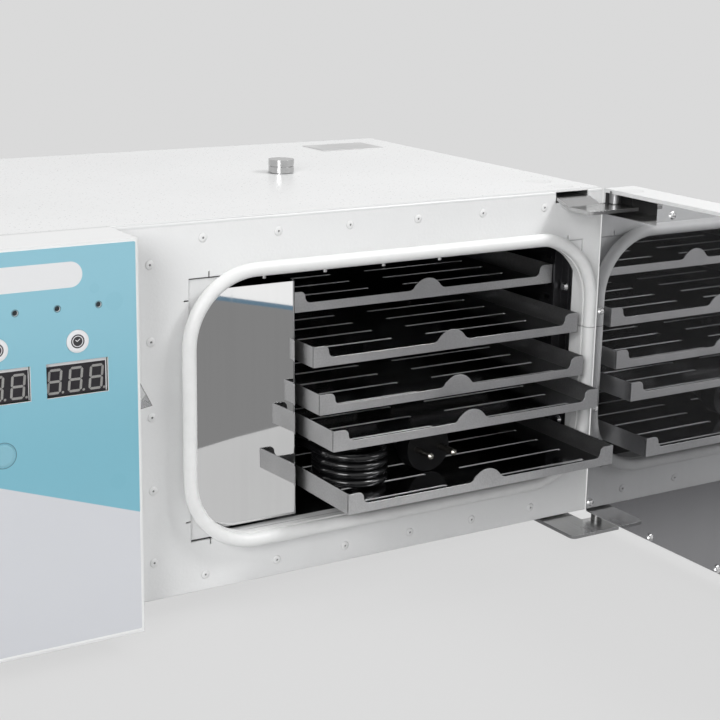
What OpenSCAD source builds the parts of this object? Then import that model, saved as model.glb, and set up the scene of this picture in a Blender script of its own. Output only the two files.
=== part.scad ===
// Dry heat sterilizer with a side-hinged door, five slotted trays and a control box.
// Millimetres, +Z up. The case frame has its zero at the front sheet's lower hinge-side corner.

/* [Case] */
// Width of the case, control box included
case_w = 504; // [490:1:540]
// Height of the case above its feet
case_h = 245; // [240:1:270]
// Depth of the case behind its front face
case_d = 313; // [306:1:350]
// Thickness of the painted sheets
sheet_t = 1.2; // [0.9:0.1:1.5]
// Radius of the folded edges
fold_r = 2; // [1.6:0.2:3]
// Width of the control box beside the door
control_w = 125; // [115:1:130]
// Height of the rubber feet
foot_h = 15; // [10:1:20]
// Radius of a foot at its top
foot_r = 13; // [10:0.5:16]
// Distance of the feet's centres from the case sides
foot_inset_x = 72; // [66:1:90]
// Distance of the feet's centres from the front and the rear
foot_inset_y = 78; // [76:1:90]

/* [Opening] */
// Distance of the opening from the control box
opening_far = 52.4; // [51:0.2:56]
// Distance of the opening from the case top
opening_head = 37.6; // [35:0.2:40]
// Distance of the opening from the hinge side of the case
opening_side = 16.2; // [16:0.2:18]
// Height of the opening's lower edge above the case bottom
opening_base = 35.6; // [34:0.2:38]
// Corner radius of the opening
opening_r = 43; // [38:0.5:43]
// Corner radius of the collar behind the front face
collar_r = 6; // [4:0.5:8]
// Thickness of the collar sheet
collar_t = 0.8; // [0.6:0.1:1]
// How far the collar stands out of the front face
collar_front = 3; // [2.6:0.1:3.4]
// How far the collar reaches into the chamber
collar_back = 9; // [7:0.5:10]
// Width of the collar's hidden flange
collar_flange = 11; // [8:0.5:12]
// Radius of the silicone bulb
bulb_r = 4.5; // [4.2:0.1:4.7]
// Wall of the silicone bulb
bulb_wall = 1.3; // [1:0.1:1.6]

/* [Chamber] */
// Depth of the chamber behind the front face
chamber_d = 272; // [268:1:276]
// Thickness of the stainless sheets in the chamber
liner_t = 0.8; // [0.6:0.1:1]
// Thickness of the insulation at the control side
wall_gap = 16; // [12:1:18]
// Gap between the insulation and the rear
wool_rear = 14; // [8:1:18]
// Width of the heater compartment
compartment_w = 80.4; // [77:0.1:81]
// Distance of the polished cover's lower edge behind the front face
cover_y = 5; // [4:0.5:8]
// Lean of the polished cover in degrees
cover_lean = 1.5; // [0:0.5:2]
// Radius of the bend at the polished cover's tray side
cover_bend = 2.4; // [1.6:0.2:3]
// Radius of the fan wheel
fan_r = 44; // [38:1:48]
// Width of the fan blades
fan_blade_w = 26; // [20:1:30]
// Number of fan blades
fan_blades = 16; // [10:2:20]
// Radius of the fan shaft
shaft_r = 3; // [2.5:0.5:4]
// Radius of the ring heater's centre line
heater_r = 60; // [57:1:64]
// Radius of the heater tube
heater_tube_r = 3.2; // [2.8:0.2:3.6]
// Radius of the fan motor
motor_r = 30; // [24:1:34]
// Length of the fan motor
motor_l = 28; // [24:1:30]

/* [Trays] */
// Gap between the heater cover and a tray
tray_side_gap = 3.8; // [3.2:0.1:5]
// Gap between a tray and the chamber's rear wall
tray_rear_gap = 4.6; // [3:0.2:8]
// Height of a tray's side walls
tray_h = 14; // [12:0.5:14.5]
// Thickness of the tray sheet
tray_t = 0.8; // [0.6:0.1:1]
// Height of the low part of a tray's front wall
tray_lip = 6; // [4:0.5:8]
// Radius of the raised middle of an end wall
tray_hump_r = 13; // [10:0.5:15]
// Radius at the foot of that raised middle
tray_foot_r = 6; // [4:0.5:8]
// Distance between the rows of floor slots
slot_pitch = 26.3; // [24:0.1:30]
// Width of a floor slot
slot_w = 3.2; // [2.4:0.2:4]
// Distance of the top tray's rails below the opening's upper edge
tray_head = 34.9; // [34.9:0.1:38]
// Rail heights of the three lower trays above the opening's lower edge
low_lifts = [76.9, 56.9, 20.4];
// How far each tray is pulled out of its home place
tray_pulls = [0, 31.8, 40.6, 58.4, 78.4];
// Distance of a tray's home place behind the front face
tray_home = 23.4; // [22:0.2:25]
// Width of the ledge under a tray
ledge_w = 8; // [6:0.5:10]
// Depth of the upright channels at the hinge side
upright_d = 7.9; // [6.8:0.1:8.2]

/* [Door] */
// Thickness of the door
door_t = 28; // [27:0.5:30]
// Gap between the front face and the closed door
door_gap = 12.6; // [12.4:0.2:13.2]
// How far the door's hinge end stands past the case side
door_over = 4.5; // [4:0.1:4.5]
// Gap between the door's free end and the control box
door_end_gap = 1.2; // [1.2:0.1:1.8]
// Height of the door's lower edge above the case bottom
door_base = 3; // [2.6:0.1:3.6]
// How far the door stands above the case top
door_top_over = 0.8; // [0:0.1:1.5]
// Thickness of the mirror panel
mirror_t = 0.8; // [0.6:0.1:1]
// How far the handle stands out of the door
handle_out = 30; // [26:1:38]
// Distance between the handle's posts
handle_span = 120; // [96:1:160]
// Radius of the handle's bar
handle_r = 6; // [5:0.5:7]

/* [Hinges] */
// Width of a hinge strap
strap_w = 28.2; // [26:0.2:30]
// Thickness of a hinge strap
strap_t = 2.5; // [2:0.1:3]
// Distance of the straps from the case side
strap_side = 13.5; // [13.5:0.1:15]
// Length of a strap behind the front face
strap_back = 58; // [50:1:60]
// How far a strap stands out in front of the face
strap_out = 38; // [37:0.2:38]
// Drop of the upper strap below the case top
strap_drop = 12; // [11:0.2:12.4]
// Height of the upper strap's joggle
strap_joggle = 4.5; // [3.5:0.1:5]
// Radius of the hinge pins
pin_r = 3; // [2.5:0.1:3.2]
// Running clearance of the pins in their bushes
pin_clear = 0.05; // [0.03:0.01:0.1]
// Radius of a hinge bush
bush_r = 4.1; // [3.9:0.1:4.1]
// Distance of the pivot from the case side
pivot_side = 3; // [3:0.1:3.2]
// Distance of the pivot behind the door's inner face
pivot_in = 5; // [5:0.1:5.4]

/* [Controls] */
// Width of a display window
window_w = 37.8; // [34:0.2:38]
// Height of a display window
window_h = 20.6; // [18:0.2:24]
// Distance between the two displays' centres
window_pitch = 47.2; // [44:0.2:48]
// Radius of a control key
key_r = 6.7; // [5.5:0.1:7]
// Travel of a control key
key_travel = 0.8; // [0.4:0.1:1]
// Thickness of the printed front film
film_t = 0.4; // [0.3:0.1:0.6]
// Radius of the vent cap
cap_r = 9.5; // [8:0.5:12]
// Height of the vent cap
cap_h = 9.5; // [8:0.5:12]
// Outer radius of the vent tube
vent_r = 6.2; // [5.4:0.2:7]

/* [Cord] */
// Diameter of the mains lead
cord_d = 5.8; // [5:0.1:6.4]
// Radius of the coil's centre line
coil_r = 23.5; // [23:0.5:26]
// Turns in the coil
coil_turns = 3.5; // [2.5:0.5:3.5]

/* [Hidden] */
$fn = 48;

// Clearances and small sizes that several pieces share
fit = 0.2;
hole_fit = 0.1;
slide_gap = 0.4;
over = 1;
face_w = case_w - control_w;
control_proud = door_gap + door_t;
top_edge_r = 3;
gasket_lip = 0.4;

// Opening, collar and chamber box in the case frame
opening_w = face_w - opening_side - opening_far;
opening_h = case_h - opening_base - opening_head;
open_right = -opening_side;
open_left = open_right - opening_w;
open_mid_x = (open_left + open_right) / 2;
open_mid_z = opening_base + opening_h / 2;
open_top = opening_base + opening_h;
collar_y = sheet_t + fit;
liner_y = collar_y + collar_t;
liner_left = open_left - collar_t - fit;
liner_right = open_right + collar_t + fit;
liner_floor = opening_base - collar_t - fit;
liner_top = open_top + collar_t + fit;
bulkhead_x = liner_left - liner_t - wall_gap;
divider_x = liner_left + compartment_w + liner_t;

// Fan, heater and motor share one axis along X
fan_y = chamber_d / 2 + 8;
fan_z = open_mid_z;
fan_x = liner_left + 14;

// Tray places
top_lift = opening_h - tray_head;
tray_lifts = concat([top_lift, (top_lift + low_lifts[0]) / 2], low_lifts);
upright_x = liner_right - upright_d;
tray_left = divider_x + tray_side_gap;
tray_w = upright_x - slide_gap - tray_left;
tray_d = chamber_d - tray_home - tray_rear_gap;
rail_t = 0.8;
rail_lip = 3;
rail_l = tray_d - 12;
raised_end = 7.5;
corner_notch = 1.4;
slot_first = 16;
slot_rows = floor((tray_d - 2 * slot_first) / slot_pitch) + 1;
slot_gap = 28.5;
slot_split = 0.4645 * tray_w;
slot_columns = [[10, slot_split - slot_gap / 2], [slot_split + slot_gap / 2, tray_w - 13.5]];

// Hinge and door in the closed place
pivot = [-pivot_side, -(door_gap + pivot_in)];
door_free = -(face_w - door_end_gap);
door_h = case_h + door_top_over - door_base;
door_top = door_base + door_h;
door_back = -door_gap - mirror_t;
door_front = -door_gap - door_t;
pocket_w = 57.4;
bush_l = 6.4;
pocket_z = case_h - 17;
strap_z = case_h - strap_drop;
strap_tip = 4.5;
strap_right = strap_tip - pivot_side;

// Overall box with the door at rest, which the origin is under
rear_out = 3;
door_end_y = pivot[1] + door_free - pivot[0];
handle_x = pivot[0] - (door_front - handle_out - pivot[1]);
origin = [(handle_x - case_w) / 2, (case_d + rear_out + door_end_y) / 2, -foot_h];

// Places on the control box
panel_x = -(face_w + control_w / 2);
panel_y = -control_proud;
window_z = case_h - 78.5;
key_z = case_h - 56.8;
key_dx = 24;
program_dx = -22.3;
program_z = case_h - 118.6;
light_z = case_h - 36.6;
light_pitch = 24.9;
board_y = panel_y + 10.4;
board_low = program_z - 18.4;
board_high = case_h - 19;

// Cord route's fixed points, carried by the lowest tray
coil_x = tray_left + 35.8;
coil_y = tray_home - tray_pulls[4] + 58.2;
plug_x = tray_left + 92.6;
plug_y = coil_y - 11.2;
plug_r = 17;
connector_x = coil_x + coil_r;
connector_y = coil_y + 108.8;
tray5_floor = opening_base + tray_lifts[4] + tray_t;
coil_z = tray5_floor + fit;
coil_h = coil_turns * (cord_d + 0.1) + cord_d;
coil_top_z = coil_z + coil_h - cord_d / 2;
coil_low_z = coil_z + cord_d / 2;
plug_z = tray5_floor + fit + plug_r;
connector_z = tray5_floor + fit + 10;
relief_l = 18;
plug_rear = plug_y + 14 + 22 + relief_l;
plug_route = [
  [coil_x - coil_r, coil_y, coil_top_z],
  [coil_x - coil_r, coil_y + 16.8, coil_top_z],
  [coil_x - coil_r, coil_y + 34.8, plug_z + 5],
  [coil_x - 22.2, coil_y + 52.8, plug_z + 3],
  [coil_x - 15.2, coil_y + 70.8, plug_z + 2],
  [coil_x - 2.2, coil_y + 83.8, plug_z + 1],
  [coil_x + 16.8, coil_y + 88.8, plug_z + 1],
  [coil_x + 35.8, coil_y + 83.8, plug_z + 0.5],
  [plug_x - 8, coil_y + 71.8, plug_z],
  [plug_x, coil_y + 56.8, plug_z],
  [plug_x, plug_rear, plug_z]
];
connector_route = [
  [coil_x + coil_r, coil_y, coil_low_z],
  [coil_x + coil_r, coil_y + 16.8, coil_low_z],
  [connector_x, coil_y + 36.8, coil_low_z + 1.1],
  [connector_x, coil_y + 56.8, coil_low_z + 3.6],
  [connector_x, coil_y + 74.8, connector_z],
  [connector_x, connector_y - 20, connector_z]
];

// Rivets of the front face: two rows and a column
rivet_r = 1.7;
rivet_head_r = 3;
rivet_pitch = (face_w - 61.3 - 52) / 5;
rivet_xs = [for (k = [0:5]) -face_w + 61.3 + rivet_pitch * k];
rivet_places = concat(
  [for (x = rivet_xs) [x, case_h - 11.5]], [for (x = rivet_xs) [x, 10.6]],
  [for (k = [0:4]) [-face_w + 25.2, 25.6 + k * (case_h - 51.1) / 4]]
);

// Screws, bolts, feet and the rear fittings
small_screw_r = 1.5;
bolt_r = 2.4;
foot_screw_r = 2.4;
foot_xs = [-foot_inset_x, -case_w + foot_inset_x];
foot_places = [for (x = foot_xs) for (y = [foot_inset_y, case_d - foot_inset_y]) [x, y]];
strap_left = -strap_side - strap_w;
low_strap_z = -1.5 - strap_t;
bolt_places = [for (y = [22, strap_back - 12]) [-strap_side - strap_w / 2, y]];
top_bolt_places = bolt_places;
rear_screw_places = [for (x = [-case_w + 12, -case_w / 2, -12]) for (z = [12, case_h - 14]) [x, z]];
inlet_x = -case_w + 62;
inlet_z = 46;
inlet_w = 50;
inlet_h = 24;
inlet_screw_dx = inlet_w / 2 + 5;
socket_x = inlet_x - 9;
switch_x = inlet_x + 16;
rocker_tilt = 8;
rocker_y = case_d + rear_out - 3.4;
rocker_pin_r = 1.2;
rocker_pin_l = 7.4;
vent_x = -176;
vent_y = 158;
stem_r = 4.6;
plate_x = -85;
plate_y = 250;
motor_ear = motor_r + 6;
leg_angles = [112, 428];
probe_x = -130;
probe_z = open_top - 9;
probe_r = 2;
probe_nut = 5;
cover_base = opening_base + 3.3;
cover_top = open_top - 9.5;
outlet_z = 0.198 * opening_h;
outlet_h = 0.279 * opening_h;
rim_screw_xs = [for (k = [0:3]) open_left + (0.169 + 0.145 * k) * opening_w];
rim_screw_y = 1.6;
floor_screw = [open_left + 0.197 * opening_w, 16];
upright_foot_x = liner_right - 1;
upright_ys = [21, chamber_d - 44];
upright_z0 = opening_base + 8;
upright_z1 = open_top - 8;
screw_places = [for (y = upright_ys) for (z = [opening_base + 32.9, open_top - 37.2]) [y - 4, z]];
catch_z = case_h - 104.7;
catch_out = 9;
catch_in = 10;
catch_up = 20.5;
catch_down = 15;
catch_y0 = panel_y + 3;
key_places = [[panel_x - key_dx, key_z], [panel_x + key_dx, key_z], [panel_x + program_dx, program_z]];
light_r = 1.5;
light_xs = [for (k = [-1.5:1.5]) panel_x + k * light_pitch];
handle_cx = door_free + 30;
handle_z = door_base + door_h / 2;
handle_posts = [for (s = [-1, 1]) [handle_cx, handle_z + s * handle_span / 2]];
screw_x = pivot[0] + 2.4;
screw_pitch = (screw_x - door_free) / 5.605;
screw_rise = 0.3 * door_h;
door_screw_places = concat(
  [for (k = [1:5]) for (z = [door_base + 3.6, door_top - 8.2]) [screw_x - screw_pitch * k, z]],
  [for (k = [0:2]) [screw_x, door_base + 9 + screw_rise * k]],
  [for (k = [0, 3]) [door_free + 3.6, door_base + 9 + screw_rise * k]]
);

// Frames and plain shapes
module in_frame() { translate(-origin) children(); }
module door_open() {
  translate([pivot[0], pivot[1], 0]) rotate(90) translate([-pivot[0], -pivot[1], 0]) children();
}
module block(lo, hi) { translate(lo) cube(hi - lo); }
module along_y(y0, y1) { translate([0, y1, 0]) rotate([90, 0, 0]) linear_extrude(y1 - y0) children(); }
module along_x(x0, x1) { translate([x0, 0, 0]) rotate([90, 0, 90]) linear_extrude(x1 - x0) children(); }
module rod_x(x0, x1, y, z, r) { along_x(x0, x1) translate([y, z]) circle(r); }
module rod_y(y0, y1, x, z, r) { along_y(y0, y1) translate([x, z]) circle(r); }
module rod_z(z0, z1, x, y, r) { translate([x, y, z0]) cylinder(h = z1 - z0, r = r); }
module tube_z(z0, z1, x, y, r, bore) {
  difference() {
    rod_z(z0, z1, x, y, r);
    rod_z(z0 - over, z1 + over, x, y, bore);
  }
}

// A rectangle between two corners with round corners
module round_rect(lo, hi, r) {
  translate([lo[0] + r, lo[1]]) square([hi[0] - lo[0] - 2 * r, hi[1] - lo[1]]);
  translate([lo[0], lo[1] + r]) square([hi[0] - lo[0], hi[1] - lo[1] - 2 * r]);
  for (x = [lo[0] + r, hi[0] - r]) for (y = [lo[1] + r, hi[1] - r]) translate([x, y]) circle(r);
}
module rect(lo, hi) { translate(lo) square(hi - lo); }
module opening_shape(grow, r = opening_r) {
  round_rect([open_left - grow, opening_base - grow], [open_right + grow, open_top + grow], r + grow);
}

// Outline of the case seen from the front, with its two folded upper edges
module case_outline(inset) {
  r = fold_r + 0.4 - inset * 0.999;
  rect([-case_w + inset, inset], [-inset, case_h - inset - r]);
  rect([-case_w + inset + r, inset], [-inset - r, case_h - inset]);
  for (x = [-case_w + inset + r, -inset - r]) translate([x, case_h - inset - r]) circle(r);
}

// What the rounded front edge of the top takes off
module top_edge_waste() {
  difference() {
    block([-face_w, -over, case_h - top_edge_r], [over, top_edge_r, case_h + over]);
    rod_x(-face_w - over, 2 * over, top_edge_r, case_h - top_edge_r, top_edge_r);
  }
}

// A profile carried round the opening: x is the distance out from the collar, y the case's Y
module round_opening() {
  translate([open_mid_x, 0, open_mid_z]) for (turn = [0:3]) rotate([0, 90 * turn, 0]) {
    across = turn % 2 == 0 ? opening_w : opening_h;
    run = (turn % 2 == 0 ? opening_h : opening_w) - 2 * opening_r;
    translate([across / 2, 0, -run / 2]) linear_extrude(run) children();
    translate([across / 2 - opening_r, 0, -run / 2]) rotate([-90, 0, 0])
      rotate_extrude(angle = 90) translate([opening_r, 0]) children();
  }
}

// Painted case

module case_cover() {
  color("whitesmoke") in_frame() difference() {
    along_y(sheet_t, case_d) difference() {
      case_outline(0);
      case_outline(sheet_t);
      rect([-case_w + sheet_t, -over], [-sheet_t, sheet_t + over]);
    }
    rod_z(case_h - 2 * sheet_t, case_h + over, vent_x, vent_y, vent_r + hole_fit);
    top_edge_waste();
  }
}

module base_plate() {
  color("whitesmoke") in_frame() difference() {
    block([-case_w + sheet_t + 0.1, sheet_t, 0], [-sheet_t - 0.1, case_d - sheet_t, sheet_t]);
    for (p = foot_places) rod_z(-over, sheet_t + over, p[0], p[1], foot_screw_r + hole_fit);
    for (p = bolt_places) rod_z(-over, sheet_t + over, p[0], p[1], bolt_r + hole_fit);
    for (k = [0:7]) translate([-case_w + 30 + k * 10, 100, -over]) cube([4, 60, sheet_t + 2 * over]);
  }
}

module rear_panel() {
  color("whitesmoke") in_frame() difference() {
    along_y(case_d - sheet_t, case_d) difference() {
      union() {
        case_outline(sheet_t + hole_fit);
        rect([-case_w + sheet_t + hole_fit, 0], [-sheet_t - hole_fit, foot_r]);
      }
      rect([inlet_x - inlet_w / 2 - fit, inlet_z - inlet_h / 2 - fit],
           [inlet_x + inlet_w / 2 + fit, inlet_z + inlet_h / 2 + fit]);
      for (k = [0:9]) translate([-case_w + 26 + k * 9, case_h - 60]) louvre_slot();
      for (p = rear_screw_places) translate(p) circle(small_screw_r + hole_fit);
    }
    for (s = [-1, 1]) rod_y(case_d - 2 * sheet_t, case_d + over,
      inlet_x + s * inlet_screw_dx, inlet_z, small_screw_r + hole_fit);
  }
}
module louvre_slot() {
  rect([-2, 0], [2, 30]);
  for (z = [0, 30]) translate([0, z]) circle(2);
}

module rear_screws() {
  color("silver") in_frame() for (p = rear_screw_places) {
    rod_y(case_d - 6, case_d + 0.1, p[0], p[1], small_screw_r);
    pan_head(case_d, p[0], p[1], 3.2);
  }
}
module pan_head(y, x, z, r) {
  translate([x, y, z]) rotate([-90, 0, 0]) difference() {
    cylinder(h = 2, r1 = r, r2 = r * 0.7);
    translate([-0.5, -r, 1.2]) cube([1, 2 * r, over]);
    translate([-r, -0.5, 1.2]) cube([2 * r, 1, over]);
  }
}

module front_face() {
  color("whitesmoke") in_frame() difference() {
    along_y(0, sheet_t) case_outline(0);
    along_y(-over, sheet_t + over) {
      rect([open_left - collar_t - fit, opening_base - collar_t - fit],
           [open_right + collar_t + fit, open_top + collar_t + fit]);
      for (sx = [-1, 1]) for (sz = [-1, 1]) relief_slits(sx, sz);
      rect([strap_left - 0.4, case_h - 9], [-strap_side + 0.4, case_h - 1.5]);
      rect([-case_w + 14, 20], [-face_w - 14, case_h - 30]);
      for (p = rivet_places) translate(p) circle(rivet_r + hole_fit);
    }
    top_edge_waste();
  }
}
// Two short slits beside a corner of the cut-out
module relief_slits(sx, sz) {
  cx = open_mid_x + sx * (opening_w / 2 + collar_t + fit);
  cz = open_mid_z + sz * (opening_h / 2 + collar_t + fit);
  rect([cx - sx * 14 - 0.5, cz - 3.5], [cx - sx * 14 + 0.5, cz + 3.5]);
  rect([cx - 3.5, cz - sz * 14 - 0.5], [cx + 3.5, cz - sz * 14 + 0.5]);
}

module face_rivets() {
  color("white") in_frame() for (p = rivet_places) {
    rod_y(-0.1, sheet_t + 1.6, p[0], p[1], rivet_r);
    translate([p[0], 0, p[1]]) rotate([90, 0, 0]) difference() {
      union() {
        cylinder(h = 0.35, r1 = rivet_head_r, r2 = rivet_head_r - 0.5);
        translate([0, 0, 0.35]) cylinder(h = 0.35, r1 = rivet_head_r - 0.5, r2 = rivet_head_r - 1.7);
      }
      translate([0, 0, 0.3]) cylinder(h = over, r = 0.75);
    }
  }
}

module door_collar() {
  color("white") in_frame() {
    collar_ring(-collar_front, liner_y, opening_r);
    collar_ring(collar_y, collar_back, collar_r);
    along_y(collar_y, liner_y) difference() {
      rect([open_left - collar_flange, opening_base - collar_flange],
           [open_right + collar_flange, open_top + collar_flange]);
      opening_shape(collar_t / 2);
    }
  }
}

module collar_ring(y0, y1, r) {
  along_y(y0, y1) difference() {
    opening_shape(collar_t, r);
    opening_shape(0, r);
  }
}

module collar_gasket() {
  color("white") in_frame() round_opening() difference() {
    union() {
      translate([bulb_r - 0.1, -7]) circle(bulb_r);
      rect([-gasket_lip, -collar_front - 1.3], [collar_t + 1.2, -0.3]);
    }
    translate([bulb_r - 0.1, -7]) circle(bulb_r - bulb_wall);
    rect([-0.04, -collar_front - 0.04], [collar_t + 0.04, over]);
  }
}

// Chamber

module chamber_liner() {
  color("silver") in_frame() difference() {
    block([liner_left - liner_t, liner_y, liner_floor - liner_t],
          [liner_right + liner_t, chamber_d + liner_t, liner_top + liner_t]);
    block([liner_left, liner_y - over, liner_floor], [liner_right, chamber_d, liner_top]);
    through_left_wall(liner_left - liner_t - over, liner_left + over, 1);
    rod_y(chamber_d - over, chamber_d + 2 * over, probe_x, probe_z, probe_r + hole_fit);
    rod_z(liner_top - over, liner_top + 2 * over, vent_x, vent_y, vent_r + hole_fit);
    for (p = screw_places)
      rod_x(liner_right - over, liner_right + 2 * over, p[0], p[1], small_screw_r + hole_fit);
  }
}
// Shaft and heater holes through the walls at the control side
module through_left_wall(x0, x1, gap) {
  rod_x(x0, x1, fan_y, fan_z, shaft_r + gap);
  for (a = leg_angles)
    rod_x(x0, x1, fan_y + heater_r * cos(a), fan_z + heater_r * sin(a), heater_tube_r + gap);
}

module chamber_insulation() {
  color("khaki") in_frame() difference() {
    block([bulkhead_x + 0.3, liner_y + 1, sheet_t + 0.3], [-sheet_t - 0.4, case_d - wool_rear, strap_z - 4]);
    block([liner_left - liner_t - 0.3, liner_y - over, liner_floor - liner_t - 0.3],
          [liner_right + liner_t + 0.3, chamber_d + liner_t + 0.3, liner_top + liner_t + 0.3]);
    through_left_wall(bulkhead_x - over, liner_left, 1);
    rod_y(chamber_d, case_d, probe_x, probe_z, probe_nut + 0.4);
    rod_z(liner_top, case_h, vent_x, vent_y, vent_r + 0.4);
    for (p = screw_places) rod_x(liner_right, liner_right + 9, p[0], p[1], small_screw_r + 0.4);
    for (p = concat(foot_places, bolt_places)) rod_z(0, 9, p[0], p[1], 6);
  }
}

module bulkhead() {
  color("lightgray") in_frame() difference() {
    union() {
      block([bulkhead_x - 1, liner_y, sheet_t], [bulkhead_x, case_d - sheet_t, case_h - sheet_t]);
      block([bulkhead_x - 13, liner_y, sheet_t], [bulkhead_x, case_d - sheet_t, sheet_t + 1]);
    }
    rod_x(bulkhead_x - 2, bulkhead_x + over, fan_y, fan_z, shaft_r + 1);
    for (a = leg_angles) rod_x(bulkhead_x - 2, bulkhead_x + over,
      fan_y + heater_r * cos(a), fan_z + heater_r * sin(a), heater_tube_r + 0.1);
    for (s = [-1, 1])
      rod_x(bulkhead_x - 2, bulkhead_x + over, fan_y + s * motor_ear, fan_z, small_screw_r + hole_fit);
  }
}

module heater_cover() {
  lean_run = (cover_top - cover_base) * sin(cover_lean);
  color("silver") in_frame() {
    translate([0, cover_y, cover_base]) rotate([-cover_lean, 0, 0])
      linear_extrude(cover_top - cover_base) bent_plan(liner_left + 7, divider_x);
    difference() {
      along_x(divider_x - liner_t, divider_x) polygon([
        [cover_y + 1.5 * cover_bend, cover_base], [cover_y + 1.5 * cover_bend + lean_run, cover_top],
        [chamber_d - 1, cover_top], [chamber_d - 1, liner_floor],
        [cover_y + 3 * cover_bend, liner_floor], [cover_y + 3 * cover_bend, cover_base]
      ]);
      divider_holes();
    }
    block([divider_x - 12, cover_y + 8, liner_floor],
          [divider_x - liner_t / 2, chamber_d - 6, liner_floor + liner_t]);
  }
}
// Plan of a sheet that is bent back at its right end
module bent_plan(x0, x1) {
  rect([x0, 0], [x1 - cover_bend, liner_t]);
  rect([x1 - liner_t, cover_bend], [x1, 2 * cover_bend]);
  translate([x1 - cover_bend, cover_bend]) difference() {
    intersection() {
      circle(cover_bend);
      rect([0, -cover_bend], [cover_bend, 0]);
    }
    circle(cover_bend - liner_t);
  }
}
// Round air holes in front of the wheel and long outlets near both ends
module divider_holes() {
  for (i = [-4:4]) for (j = [-4:4]) {
    y = 10 * (i + (abs(j) % 2) / 2);
    z = 9 * j;
    if (norm([y, z]) < fan_r - 6) rod_x(divider_x - 2, divider_x + 1, fan_y + y, fan_z + z, 3);
  }
  for (y = [48, 62, chamber_d - 34, chamber_d - 20]) for (side = [-1, 1])
    block([divider_x - 2, y, fan_z + side * outlet_z - outlet_h / 2],
          [divider_x + 1, y + 5, fan_z + side * outlet_z + outlet_h / 2]);
}

module chamber_screws() {
  color("silver") in_frame() {
    for (p = screw_places) {
      rod_x(upright_foot_x - 0.1, liner_right + 5, p[0], p[1], small_screw_r);
      translate([upright_foot_x, p[0], p[1]]) rotate([0, -90, 0]) cylinder(h = 2.2, r1 = 3.6, r2 = 2.4);
    }
    for (x = rim_screw_xs) rod_z(open_top - 3.8, open_top, x, rim_screw_y, small_screw_r);
    rod_z(liner_floor, liner_floor + 1.8, floor_screw[0], floor_screw[1], 2.2);
    for (side = [-1, 1]) {
      rod_x(bulkhead_x - 4.1, bulkhead_x + fit, fan_y + side * motor_ear, fan_z, small_screw_r);
      rod_x(bulkhead_x - 6, bulkhead_x - 4, fan_y + side * motor_ear, fan_z, 3.2);
    }
  }
}

module tray_uprights() {
  color("silver") in_frame() for (y = upright_ys) difference() {
    union() {
      block([upright_x, y, upright_z0], [upright_x + 1, y + 16, upright_z1]);
      for (side = [0, 15])
        block([upright_x, y + side, upright_z0], [liner_right - 0.05, y + side + 1, upright_z1]);
      for (side = [-8, 15])
        block([upright_foot_x, y + side, upright_z0], [liner_right - 0.05, y + side + 9, upright_z1]);
    }
    for (z = [upright_z0 + 6 : 10 : upright_z1 - 6])
      block([upright_x - over, y + 5, z], [upright_x + 2, y + 11, z + 3]);
    for (p = screw_places)
      rod_x(upright_foot_x - over, liner_right + over, p[0], p[1], small_screw_r + hole_fit);
  }
}

module tray_rails() {
  color("silver") in_frame() for (lift = tray_lifts) {
    z = opening_base + lift - fit;
    y = tray_home + 6;
    block([divider_x, y, z - rail_t], [divider_x + ledge_w, y + rail_l, z]);
    block([divider_x, y, z - rail_lip], [divider_x + rail_t, y + rail_l, z]);
    block([upright_x - ledge_w, y, z - rail_t], [upright_x, y + rail_l, z]);
    block([upright_x - rail_t, y, z - rail_lip], [upright_x, y + rail_l, z]);
  }
}

module heating_element() {
  start = leg_angles[0];
  sweep = leg_angles[1] - leg_angles[0];
  color("dimgray") in_frame() translate([fan_x + 6, fan_y, fan_z]) {
    rotate([90, 0, 90]) rotate(start) rotate_extrude(angle = sweep)
      translate([heater_r, 0]) circle(heater_tube_r);
    for (a = leg_angles) translate([0, heater_r * cos(a), heater_r * sin(a)]) {
      sphere(heater_tube_r + 0.1);
      rotate([0, -90, 0]) cylinder(h = fan_x + 6 - bulkhead_x + 12, r = heater_tube_r);
      translate([bulkhead_x - 1 - fan_x - 6, 0, 0]) rotate([0, -90, 0])
        cylinder(h = 4, r = heater_tube_r + 2.6, $fn = 6);
    }
  }
}

module temperature_probe() {
  color("silver") in_frame() {
    rod_y(chamber_d - 80, chamber_d + 20, probe_x, probe_z, probe_r);
    translate([probe_x, chamber_d + liner_t, probe_z]) rotate([-90, 0, 0])
      cylinder(h = 5, r = probe_nut, $fn = 6);
  }
}

module fan_motor() {
  x = bulkhead_x - 1;
  color("dimgray") in_frame() difference() {
    union() {
      rod_x(x - motor_l, x - 3, fan_y, fan_z, motor_r);
      rod_x(x - motor_l - 4, x, fan_y, fan_z, 11);
      block([x - 3, fan_y - motor_ear - 5, fan_z - 8], [x, fan_y + motor_ear + 5, fan_z + 8]);
    }
    rod_x(x - motor_l + 3, x + over, fan_y, fan_z, shaft_r + pin_clear);
    for (s = [-1, 1]) rod_x(x - 4, x + over, fan_y + s * motor_ear, fan_z, small_screw_r + 0.1);
    for (a = [15:30:345]) rod_x(x - motor_l - over, x - 4, fan_y + 24 * cos(a), fan_z + 24 * sin(a), 2);
  }
}

module fan_wheel() {
  color("silver") in_frame() translate([fan_x, fan_y, fan_z]) rotate([90, 0, 90]) {
    cylinder(h = 1, r = fan_r);
    cylinder(h = 14, r = shaft_r * 2.6);
    translate([0, 0, bulkhead_x - motor_l + 4 - fan_x])
      cylinder(h = fan_x - bulkhead_x + motor_l - 3.5, r = shaft_r);
    for (k = [0:fan_blades - 1]) rotate(k * 360 / fan_blades) translate([fan_r - 14, 0, 0]) rotate(28)
      translate([0, -0.4, 0.5]) cube([13, 0.8, fan_blade_w]);
    translate([0, 0, fan_blade_w]) difference() {
      cylinder(h = 1, r = fan_r);
      translate([0, 0, -over]) cylinder(h = 3 * over, r = fan_r - 12);
    }
  }
}

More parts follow.
